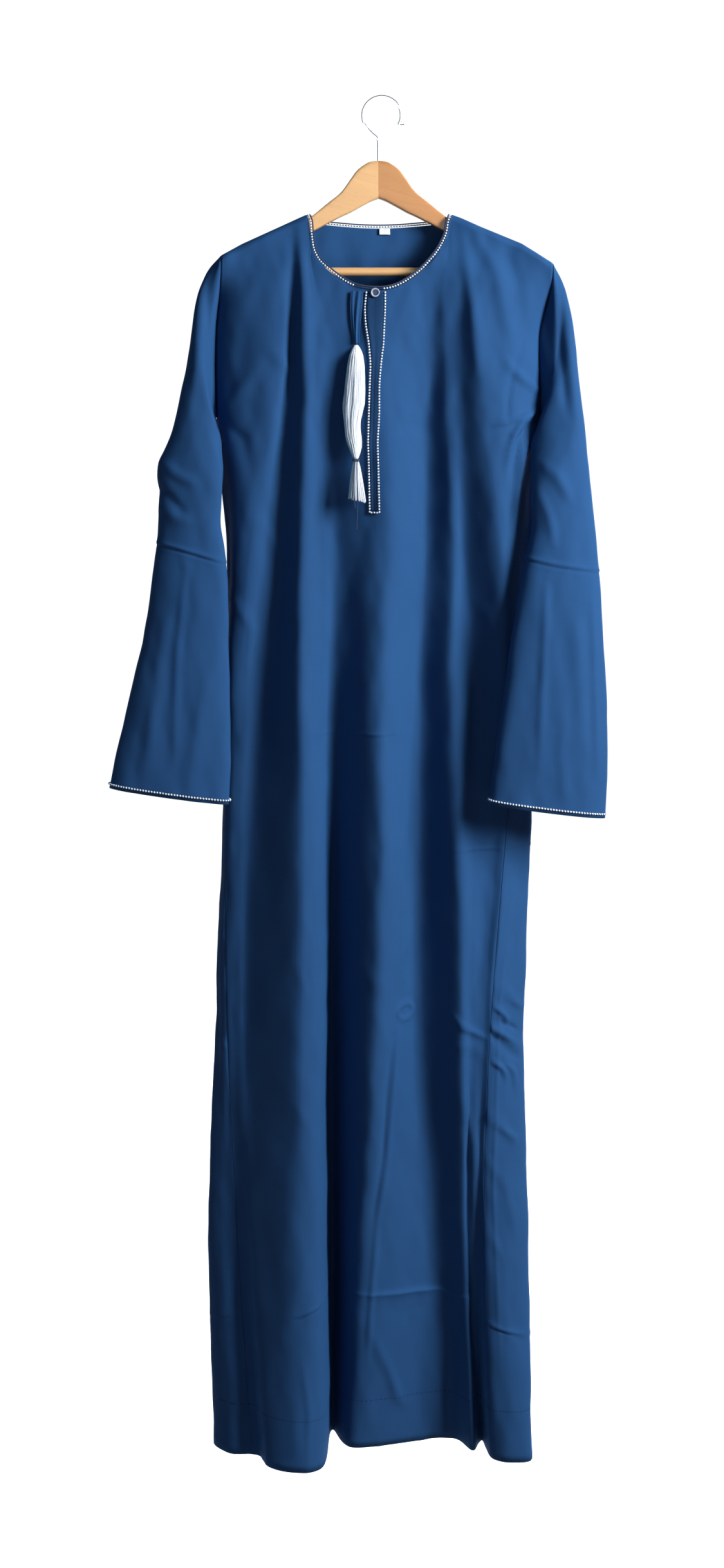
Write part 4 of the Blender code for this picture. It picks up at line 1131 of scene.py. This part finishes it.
class RobeTrimSettings(bpy.types.PropertyGroup):
    white: color_property("White thread", "Colour of the stitched cord and tassel",
                          (0.88, 0.92, 0.98, 1.0))
    # Also the colour of the cords' cores, which are painted shade in the gaps between the
    # stitches.
    dark: color_property("Dark thread", "Colour of the piping, tie and button",
                         (0.010, 0.028, 0.090, 1.0))
    stitch_pitch: length_property("Stitch pitch", "Distance from one stitch to the next",
                                  0.0034, 0.001, 0.01)
    stitch_length: length_property("Stitch length", "Length of one stitch of the cord",
                                   0.0028, 0.001, 0.01)
    strands: bpy.props.IntProperty(
        name="Tassel strands", description="Number of threads in the tassel's hank",
        default=120, min=20, max=300)


class RobeHangerSettings(bpy.types.PropertyGroup):
    # The two arms are one beech. The left arm's colour is a lighter copy as painted light, and the
    # right arm's is a darker copy as painted shade, as if lit from the right.
    left_wood_lit: color_property("Left arm", "Wood colour of the hanger's left arm",
                              (0.80, 0.45, 0.19, 1.0))
    right_wood_shaded: color_property("Right arm", "Wood colour of the hanger's right arm",
                               (0.56, 0.245, 0.078, 1.0))
    steel: color_property("Hook", "Colour of the plated hook", (0.86, 0.86, 0.87, 1.0))
    hook_roughness: bpy.props.FloatProperty(
        name="Hook roughness", description="Roughness of the hook's plating",
        default=0.14, min=0.0, max=1.0, subtype="FACTOR")


class RobeStageSettings(bpy.types.PropertyGroup):
    paper: color_property("Backdrop", "Colour of the floor and backdrop", (0.93, 0.93, 0.93, 1.0))
    glow: bpy.props.FloatProperty(
        name="Backdrop glow", description="How brightly the backdrop is lit by itself",
        default=1.10, min=0.0, max=3.0)
    key: power_property("Key light", "Power of the large light at the right", 112.0)
    fill: power_property("Fill light", "Power of the weak light at the left", 7.0)
    back: power_property("Back light", "Power of the light behind the robe", 95.0)
    distance: bpy.props.FloatProperty(
        name="Camera distance", description="Distance from the camera to the hanger",
        default=2.4, min=0.5, max=10.0, subtype="DISTANCE", unit="LENGTH")
    lens: bpy.props.FloatProperty(
        name="Lens", description="Focal length of the camera", default=46.06, min=20.0,
        max=120.0, subtype="DISTANCE_CAMERA")


# Operators

class ROBE_OT_panels(bpy.types.Operator):
    """Make the front and back of the robe"""

    bl_idname = "robe.panels"
    bl_label = "Front and back"

    def execute(self, context):
        settings = context.scene.robe_cloth
        cloth = cloth_ready()
        for name, grid, plain in (("front_panel", cloth["front"], cloth["plain"][0]),
                                  ("back_panel", cloth["back"], cloth["plain"][1])):
            cut = cut_places(plain)
            cut[..., 1] = (plain[..., 2] - HEM_Z) * MM
            thing = grid_object(name + "_cloth", grid, False, cloth["wall"], cut)
            paint = cotton(name + "_cotton", settings.color, settings.pitch, HEM_TURNING * MM)
            finish_piece(thing, paint, "cloth", name)
        return {"FINISHED"}


class ROBE_OT_sleeves(bpy.types.Operator):
    """Make both sleeves"""

    bl_idname = "robe.sleeves"
    bl_label = "Sleeves"

    def execute(self, context):
        settings = context.scene.robe_cloth
        cloth = cloth_ready()
        for side, plain in (("left", cloth["plain"][2]), ("right", cloth["plain"][3])):
            thing = grid_object("sleeve_%s_cloth" % side, cloth[side], True, cloth["wall"],
                                cut_places(plain))
            paint = cotton("sleeve_%s_cotton" % side, settings.color, settings.pitch)
            finish_piece(thing, paint, "cloth", "sleeve_" + side)
        return {"FINISHED"}


class ROBE_OT_neck_trim(bpy.types.Operator):
    """Make the white stitched cord and the dark piping round the neck"""

    bl_idname = "robe.neck_trim"
    bl_label = "Neck trim"

    def execute(self, context):
        trim = context.scene.robe_trim
        loop, ways = neck_loop()
        dark = dark_thread("neck")
        path = round_loop(loop + ways * NECK_CORD_OUT, 6)
        stitches = stitch_row("neck_stitches", path, trim, closed=True,
                              skip=lambda p: -29 < p[0] < 4 and p[2] < -200)
        finish_piece(stitches, white_thread("neck"), "white_thread", "neck_cord")
        # Dark core under the stitches, as painted shade: it darkens the gaps between the stitches.
        core = tube("neck_cord_shade_core", path, 0.75, closed=True)
        finish_piece(core, dark, "dark_thread")
        lip = tube("neck_piping", round_loop(loop + ways * NECK_PIPING_OUT, 6), 0.85, closed=True)
        finish_piece(lip, dark, "dark_thread", "neck_lip")
        return {"FINISHED"}


class ROBE_OT_placket(bpy.types.Operator):
    """Make the placket's band, stitched edges and button"""

    bl_idname = "robe.placket"
    bl_label = "Placket and button"

    def execute(self, context):
        trim = context.scene.robe_trim
        cotton_settings = context.scene.robe_cloth
        tree = cloth_ready()["tree"]
        heights = np.linspace(PLACKET[0][0], PLACKET[-1][0], 90)
        zs = [-p[0] for p in PLACKET]
        left = np.interp(-heights, zs, [p[1] for p in PLACKET])
        right = np.interp(-heights, zs, [p[2] for p in PLACKET])
        for line in (left, right):
            line[2:-2] = np.convolve(line, np.ones(5) / 5, "valid")
        rows = []
        for z, a, b in zip(heights, left, right):
            row = []
            for share in np.linspace(0, 1, 9):
                slit = 0.7 * math.exp(-((share - 0.42) / 0.10) ** 2)
                row.append(lying(tree, a + share * (b - a), z, BAND_LIFT - slit))
            rows.append(row)
        band = grid_object("placket_cloth", np.array(rows), False, 0.7)
        # The band is the robe's own cotton painted darker, at 0.62 of its colour, as painted shade
        # of the underlap in the slit.
        finish_piece(band, cotton("placket_shaded_cotton", shade(cotton_settings.color, 0.62),
                                  cotton_settings.pitch), "dark_thread", "placket_band")
        side = PLACKET_CORD_SIDE
        path = [(a - side, z) for z, a in zip(heights, left)]
        path += [(left[-1] - side, heights[-1] - side), (right[-1] + side, heights[-1] - side)]
        path += [(b + side, z) for z, b in zip(heights[::-1], right[::-1])]
        lying_path = np.array([lying(tree, x, z, PLACKET_CORD_LIFT) for x, z in path])
        stitches = stitch_row("placket_stitches", lying_path, trim)
        finish_piece(stitches, white_thread("placket"), "white_thread", "placket_cord")
        # Dark core under the stitches, as painted shade: it darkens the gaps between the stitches.
        core = tube("placket_cord_shade_core", resampled(lying_path, 3.0, False), 0.7)
        finish_piece(core, dark_thread("placket"), "dark_thread")
        self.make_button(trim)
        return {"FINISHED"}

    def make_button(self, trim):
        low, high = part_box("button")
        centre = ((low[0] + high[0]) / 2 / MM, high[1] / MM, (low[2] + high[2]) / 2 / MM)
        profile = ((0.05, 1.25), (1.2, 1.15), (2.6, 1.2), (3.3, 1.5), (3.9, 2.1), (4.4, 2.35),
                   (5.0, 2.3), (5.6, 1.8), (5.95, 1.1), (5.7, 0.4), (5.2, 0.05), (0.05, 0.05))
        rows = np.array([[(centre[0] + r * math.cos(a), centre[1] - h,
                           centre[2] + r * math.sin(a)) for a in circle_points(48)]
                         for r, h in profile])
        cut = np.zeros(rows.shape[:2] + (2,))
        cut[..., 0] = np.array([p[0] for p in profile])[:, None] * MM
        disc = grid_object("button_disc", rows, True, 0.0, cut)
        close_holes(disc, 0.09 * MM)
        finish_piece(disc, button_gloss("button_gloss", trim.dark, (0.42, 0.47, 0.55, 1.0)),
                     "dark_button", "button")


class ROBE_OT_tassel(bpy.types.Operator):
    """Make the cloth tab, the tassel's threads and the tie"""

    bl_idname = "robe.tassel"
    bl_label = "Tassel"

    def execute(self, context):
        trim = context.scene.robe_trim
        cloth = context.scene.robe_cloth
        tree = cloth_ready()["tree"]
        rows = []
        for t in np.linspace(0, 1, 32):
            z = TAB_TOP_Z + t * (TAB_END_Z - TAB_TOP_Z)
            half = 7.4 - 3.4 * t ** 1.5 + 0.5 * math.sin(5.2 * t)
            x = -25.4 - 0.9 * t - 1.1 * math.sin(math.pi * t)
            row = []
            for s in np.linspace(-1, 1, 25):
                pleat = 2.6 * math.exp(-((s - 0.28 + 0.35 * t) / 0.26) ** 2)
                side = 1.5 * math.exp(-((s + 0.62 - 0.2 * t) / 0.16) ** 2)
                rise = 3.4 - 1.4 * t * t + (pleat + side) * (0.45 + 0.55 * t)
                row.append(lying(tree, x + s * half, z, rise))
            rows.append(row)
        tab = grid_object("tassel_tab_cloth", np.array(rows), False, 0.8)
        finish_piece(tab, cotton("tassel_tab_cotton", cloth.color, cloth.pitch), "cloth",
                     "tassel_tab")
        self.make_threads(trim)
        return {"FINISHED"}

    def make_threads(self, trim):
        y_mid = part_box("tassel")[1][1] / MM - 6.2
        y_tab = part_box("tassel_tab")[1][1] / MM - 1.2
        zs = [-p[0] for p in TASSEL_FORM]
        chance = np.random.default_rng(8)

        def place(z, angle, share):
            """Point on the hank at a height, as a share of its half width."""
            mid, wide, deep = (np.interp(-z, zs, [p[k] for p in TASSEL_FORM]) for k in (1, 2, 3))
            y = y_tab + smooth((TAB_END_Z - z) / 13.0) * (y_mid - y_tab)
            return (mid + wide * share * math.cos(angle),
                    float(y) + deep * share * math.sin(angle), z)

        body = []
        for z in np.linspace(HANK_TOP_Z + 0.5, FOOT_TOP_Z - 0.5, 40):
            body.append([place(z, a, 0.80 + 0.05 * math.cos(7 * a + z * 0.04))
                         for a in circle_points(32)])
        core = grid_object("tassel_core", np.array(body), True, 0.0)
        strands = []
        for k in range(trim.strands):
            a = ROUND * k / trim.strands
            a += 0.10 * math.sin(11 * a) + chance.uniform(-0.03, 0.03)
            twist, wave = chance.uniform(-0.30, 0.30), chance.uniform(0, 6.28)
            swell = chance.uniform(0.88, 0.99)
            stray = 0.26 * chance.random() if chance.random() < 0.09 else 0.0
            path = []
            for t in np.linspace(0, 1, 22):
                loose = math.sin(math.pi * t)
                turn = a + twist * loose + 0.05 * math.sin(9 * t + wave)
                share = swell + stray * loose ** 2 + 0.02 * math.sin(14 * t + wave)
                path.append(place(HANK_TOP_Z + (HANK_END_Z - HANK_TOP_Z) * t, turn, share))
            strands.append(np.array(path))
        for k in range(trim.strands):
            a = 2.4 * k
            spread = math.sqrt((k + 0.5) / trim.strands)
            flare = chance.uniform(0.90, 1.04)
            x_end = 11.0 * spread * flare * math.cos(a)
            end = FOOT_END_Z - 0.22 * x_end + chance.uniform(-1.5, 1.5)
            path = []
            for t in np.linspace(0, 1, 7):
                z = FOOT_TOP_Z + t * (end - FOOT_TOP_Z)
                wide = (2.8 + 8.0 * t ** 0.75) * spread * flare
                deep = (2.8 + 3.7 * t ** 0.75) * spread * flare
                path.append((-26.7 + 1.4 * t + wide * math.cos(a),
                             y_mid + deep * math.sin(a), z))
            strands.append(np.array(path))
        threads = tube("tassel_threads", strands, 0.52, sides=0)
        whole = joined("tassel_hank", core, threads)
        finish_piece(whole, thread("tassel_white_thread", trim.white, 0.7), "white_thread",
                     "tassel")
        wraps = []
        for turn in np.linspace(0, 3 * ROUND, 90):
            wraps.append((-26.75 + 3.9 * math.cos(turn), y_mid + 3.9 * math.sin(turn),
                          -431.4 - 1.2 * turn / ROUND))
        tie = [np.array(wraps)]
        for dx, end in ((-1.5, -490), (1.5, -515)):
            tail = np.array(((TASSEL_X + dx, y_mid - 4.4, -433.4),
                             (TASSEL_X + dx * 0.8, y_mid - 6.6, -441),
                             (TASSEL_X + dx, y_mid - 8.8, -462),
                             (TASSEL_X + dx * 1.2, y_mid - 9.2, -482),
                             (TASSEL_X + dx * 0.5, y_mid - 8.6, end)))
            tie.append(eased(tail, 6))
        cord = tube("tassel_tie_thread", tie, 0.5, sides=1)
        finish_piece(cord, dark_thread("tie"), "dark_thread", "tassel_tie")


class ROBE_OT_cuffs(bpy.types.Operator):
    """Make the white stitched cord round both cuffs"""

    bl_idname = "robe.cuffs"
    bl_label = "Cuff cords"

    def execute(self, context):
        trim = context.scene.robe_trim
        cloth = cloth_ready()
        for side in ("left", "right"):
            last = cloth[side][-1]
            centre = last.mean(axis=0)
            up = unit(cloth[side][-6] - last)
            run = np.roll(last, -1, axis=0) - np.roll(last, 1, axis=0)
            out = unit(np.cross(run, up))
            out *= np.sign(((last - centre) * out).sum(-1))[:, None]
            path = last + up * CUFF_CORD_UP + out * CUFF_CORD_OUT
            stitches = stitch_row("cuff_%s_stitches" % side, path, trim, closed=True)
            finish_piece(stitches, white_thread("cuff_" + side), "white_thread",
                         "cuff_cord_" + side)
            # Dark core under the stitches, as painted shade: it darkens the gaps between the
            # stitches.
            core = tube("cuff_%s_cord_core" % side, resampled(path, 3.0, True), 0.7, closed=True)
            finish_piece(core, dark_thread("cuff_" + side), "dark_thread")
        return {"FINISHED"}


class ROBE_OT_label(bpy.types.Operator):
    """Make the blank label inside the neck"""

    bl_idname = "robe.label"
    bl_label = "Neck label"

    def execute(self, context):
        low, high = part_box("neck_label")
        x0, x1 = low[0] / MM + 1.0, high[0] / MM - 1.0
        y, top, bottom = (low[1] + high[1]) / 2 / MM, high[2] / MM, low[2] / MM + 2.0
        fold = []
        for t in np.linspace(0, 1, 25):
            turn = math.pi * (t - 0.5) / 0.16
            if t < 0.42:
                spot = (-0.45, top + (bottom - top) * t / 0.42 * 0.94)
            elif t > 0.58:
                spot = (0.45, top + (bottom - top) * (1 - t) / 0.42 * 0.94)
            else:
                spot = (0.45 * math.sin(turn), bottom + 0.4 - 0.35 * math.cos(turn))
            fold.append([(x, y - 0.2 + spot[0] + 0.12 * math.sin(0.5 * (x - x0)), spot[1])
                         for x in np.linspace(x0, x1, 12)])
        label = grid_object("neck_label_tape", np.array(fold), False, 0.25)
        finish_piece(label, tape("label_tape", context.scene.robe_trim.white), "label_cloth",
                     "neck_label")
        return {"FINISHED"}


class ROBE_OT_hanger(bpy.types.Operator):
    """Make the wooden hanger and its wire hook"""

    bl_idname = "robe.hanger"
    bl_label = "Hanger"

    def execute(self, context):
        settings = context.scene.robe_hanger
        # Painted light and shade: the left arm and the bar take the lit copy of the wood colour,
        # and the right arm takes the shaded copy.
        woods = {"left": hanger_wood("left_arm_wood_painted_light", settings.left_wood_lit, 3.1),
                 "right": hanger_wood("right_arm_wood_painted_shade", settings.right_wood_shaded, 17.4)}
        for side, sign in (("left", -1), ("right", 1)):
            arm = self.make_arm(side, sign)
            finish_piece(arm, woods[side], "hanger_wood", "hanger_arm_" + side)
        bar = self.make_bar()
        finish_piece(bar, hanger_wood("bar_wood", settings.left_wood_lit, 9.7), "hanger_wood",
                     "hanger_bar")
        path = [(0.0, 0.0, -75.6), (0.0, 0.0, -66.0), (0.0, 0.0, -58.0), (-0.2, 0.0, -52.0),
                (-2.5, 0.0, -47.5), (-7.0, 0.0, -43.6), (-12.0, 0.0, -38.4)]
        for degrees in range(206, -31, -8):
            a = math.radians(degrees)
            path.append((4.0 + 23.0 * math.cos(a), 0.0, -21.4 + 23.0 * math.sin(a)))
        path += [(26.6, 0.0, -33.5), (31.0, 0.0, -33.0)]
        hook = tube("hook_wire", eased(path, 4), 1.6, sides=4)
        finish_piece(hook, bright_wire("hook_plating", settings.steel, settings.hook_roughness),
                     "hook_wire", "hanger_hook")
        return {"FINISHED"}

    def arm_top(self, x):
        return float(ridge_z(x)) - ARM_INSET

    def make_arm(self, side, sign):
        xs = sorted(set(list(np.arange(0.15, 164, 2.0)) + [164.0, 164.3, 172.0, 176.0]))
        table = [(x, self.arm_top(sign * x) if top is None else top, bottom, half)
                 for x, top, bottom, half in ARM]
        table = [tuple(p) for p in eased(table[:-5], 6)] + table[-5:]
        columns = list(zip(*table))
        rings = []
        for x in xs:
            top, bottom, half = (float(np.interp(x, columns[0], columns[k])) for k in (1, 2, 3))
            if x > 92:
                top = self.arm_top(sign * x)
            angle = circle_points(ARM_SIDES)
            c, s = np.cos(angle), np.sin(angle)
            wide = np.sign(c) * np.abs(c) ** 0.36 * half
            tall = np.sign(s) * np.abs(s) ** (0.22 if abs(top - bottom) > 25 else 0.36)
            y = float(ridge_y(x)) + wide
            z = (top + bottom) / 2 + tall * (top - bottom) / 2
            at = 0.06 if x < 1 else x
            rings.append(np.stack((np.full(ARM_SIDES, sign * at), y, z), axis=1))
        return self.capped("hanger_arm_%s_wood" % side, np.array(rings))

    def make_bar(self):
        rings = []
        y = float(ridge_y(164))
        angle = circle_points(ARM_SIDES)
        for x in (-163.6, -163.0, -80, 0, 80, 163.0, 163.6):
            radius = BAR_RADIUS if abs(x) < 163.5 else BAR_RADIUS - 0.5
            rings.append(np.stack((np.full(ARM_SIDES, x), y + radius * np.cos(angle),
                                   BAR_Z + radius * np.sin(angle)), axis=1))
        return self.capped("hanger_bar_wood", np.array(rings))

    def capped(self, name, rings):
        thing = grid_object(name, rings, True, 0.0)
        close_holes(thing)
        mod = thing.modifiers.new("crisp ends", "EDGE_SPLIT")
        mod.split_angle = math.radians(50)
        return thing


class ROBE_OT_stage(bpy.types.Operator):
    """Make the floor, backdrop, lights and camera"""

    bl_idname = "robe.stage"
    bl_label = "Stage"

    def execute(self, context):
        settings = context.scene.robe_stage
        scene = context.scene
        scene.view_settings.view_transform = "Standard"
        self.make_backdrop(settings)
        world = bpy.data.worlds.new("soft_room")
        world.use_nodes = True
        background = world.node_tree.nodes["Background"]
        background.inputs["Color"].default_value = (0.36, 0.70, 1.0, 1.0)
        background.inputs["Strength"].default_value = 0.085
        scene.world = world
        self.light("key_light", (1.85, -1.25, 0.35), -0.85, (0.8, 1.2), settings.key)
        self.light("fill_light", (-1.8, -2.6, -0.2), -0.8, (1.6, 1.8), settings.fill,
                   (0.44, 0.74, 1.0))
        self.light("back_light", (1.5, 2.3, 0.7), -0.85, (1.0, 1.2), settings.back,
                   (0.86, 0.94, 1.0))
        card = self.light("front_card", (-0.3, -3.4, 0.1), -0.1, (2.4, 2.4), 40.0)
        card.visible_diffuse = False
        camera = bpy.data.cameras.new("photo_view")
        camera.sensor_width = 36.0
        camera.lens = settings.lens
        camera.shift_y = -0.2085
        thing = link(bpy.data.objects.new("photo_view", camera))
        thing.location = (-0.0196, -settings.distance, -0.43)
        thing.rotation_euler = (math.pi / 2, 0.0, 0.0)
        scene.camera = thing
        return {"FINISHED"}

    def make_backdrop(self, settings):
        """Floor that curves up into a wall behind the robe, and pale walls elsewhere."""
        start = WALL_Y - COVE_RADIUS
        profile = [(-ROOM_HALF, FLOOR_Z), (start, FLOOR_Z)]
        for degrees in range(0, 91, 9):
            a = math.radians(degrees)
            profile.append((start + COVE_RADIUS * math.sin(a),
                            FLOOR_Z + COVE_RADIUS * (1 - math.cos(a))))
        profile.append((WALL_Y, ROOM_TOP))
        rows = np.array([[(x, y, z) for x in (-ROOM_HALF, -2.5, 0.0, 2.5, ROOM_HALF)]
                         for y, z in profile])
        paper = grid_object("backdrop", rows / MM, False, 0.0)
        corners = ((-ROOM_HALF, WALL_Y), (-ROOM_HALF, -ROOM_HALF),
                   (ROOM_HALF, -ROOM_HALF), (ROOM_HALF, WALL_Y))
        rows = np.array([[(x, y, z) for x, y in corners] for z in (FLOOR_Z - 0.05, ROOM_TOP)])
        walls = grid_object("side_walls", rows / MM, False, 0.0)
        walls.visible_glossy = False
        material = studio_paper("backdrop_paper", settings.paper, settings.glow)
        for thing in (paper, walls):
            thing.data.materials.append(material)
            thing.visible_diffuse = False

    def light(self, name, place, aim_z, size, power, color=(1.0, 1.0, 1.0)):
        """Area light that looks at the robe's middle line at a height."""
        lamp = bpy.data.lights.new(name, "AREA")
        lamp.shape = "RECTANGLE"
        lamp.size, lamp.size_y = size
        lamp.energy = power
        lamp.color = color
        thing = link(bpy.data.objects.new(name, lamp))
        thing.location = place
        way = Vector((0.0, 0.0, aim_z)) - Vector(place)
        thing.rotation_euler = way.to_track_quat("-Z", "Y").to_euler()
        return thing


class ROBE_PT_panel(bpy.types.Panel):
    """Lists the pieces of the robe and their settings"""

    bl_idname = "ROBE_PT_panel"
    bl_label = "Robe on a hanger"
    bl_space_type = "VIEW_3D"
    bl_region_type = "UI"
    bl_category = "Robe"

    def draw(self, context):
        layout = self.layout
        for group, operators in GROUPS:
            box = layout.box()
            settings = getattr(context.scene, group)
            for name in type(settings).__annotations__:
                box.prop(settings, name)
            for operator in operators:
                box.operator(operator.bl_idname)


GROUPS = (
    ("robe_cloth", (ROBE_OT_panels, ROBE_OT_sleeves)),
    ("robe_trim", (ROBE_OT_neck_trim, ROBE_OT_placket, ROBE_OT_tassel, ROBE_OT_cuffs,
                   ROBE_OT_label)),
    ("robe_hanger", (ROBE_OT_hanger,)),
    ("robe_stage", (ROBE_OT_stage,)),
)
SETTINGS = (("robe_cloth", RobeClothSettings), ("robe_trim", RobeTrimSettings),
            ("robe_hanger", RobeHangerSettings), ("robe_stage", RobeStageSettings))


def register():
    for name, group in SETTINGS:
        bpy.utils.register_class(group)
        setattr(bpy.types.Scene, name, bpy.props.PointerProperty(type=group))
    for _, operators in GROUPS:
        for operator in operators:
            bpy.utils.register_class(operator)
    bpy.utils.register_class(ROBE_PT_panel)


def unregister():
    bpy.utils.unregister_class(ROBE_PT_panel)
    for _, operators in reversed(GROUPS):
        for operator in reversed(operators):
            bpy.utils.unregister_class(operator)
    for name, group in reversed(SETTINGS):
        delattr(bpy.types.Scene, name)
        bpy.utils.unregister_class(group)


def main():
    register()
    for _, operators in GROUPS:
        for operator in operators:
            family, name = operator.bl_idname.split(".")
            getattr(getattr(bpy.ops, family), name)()


if __name__ == "__main__":
    main()
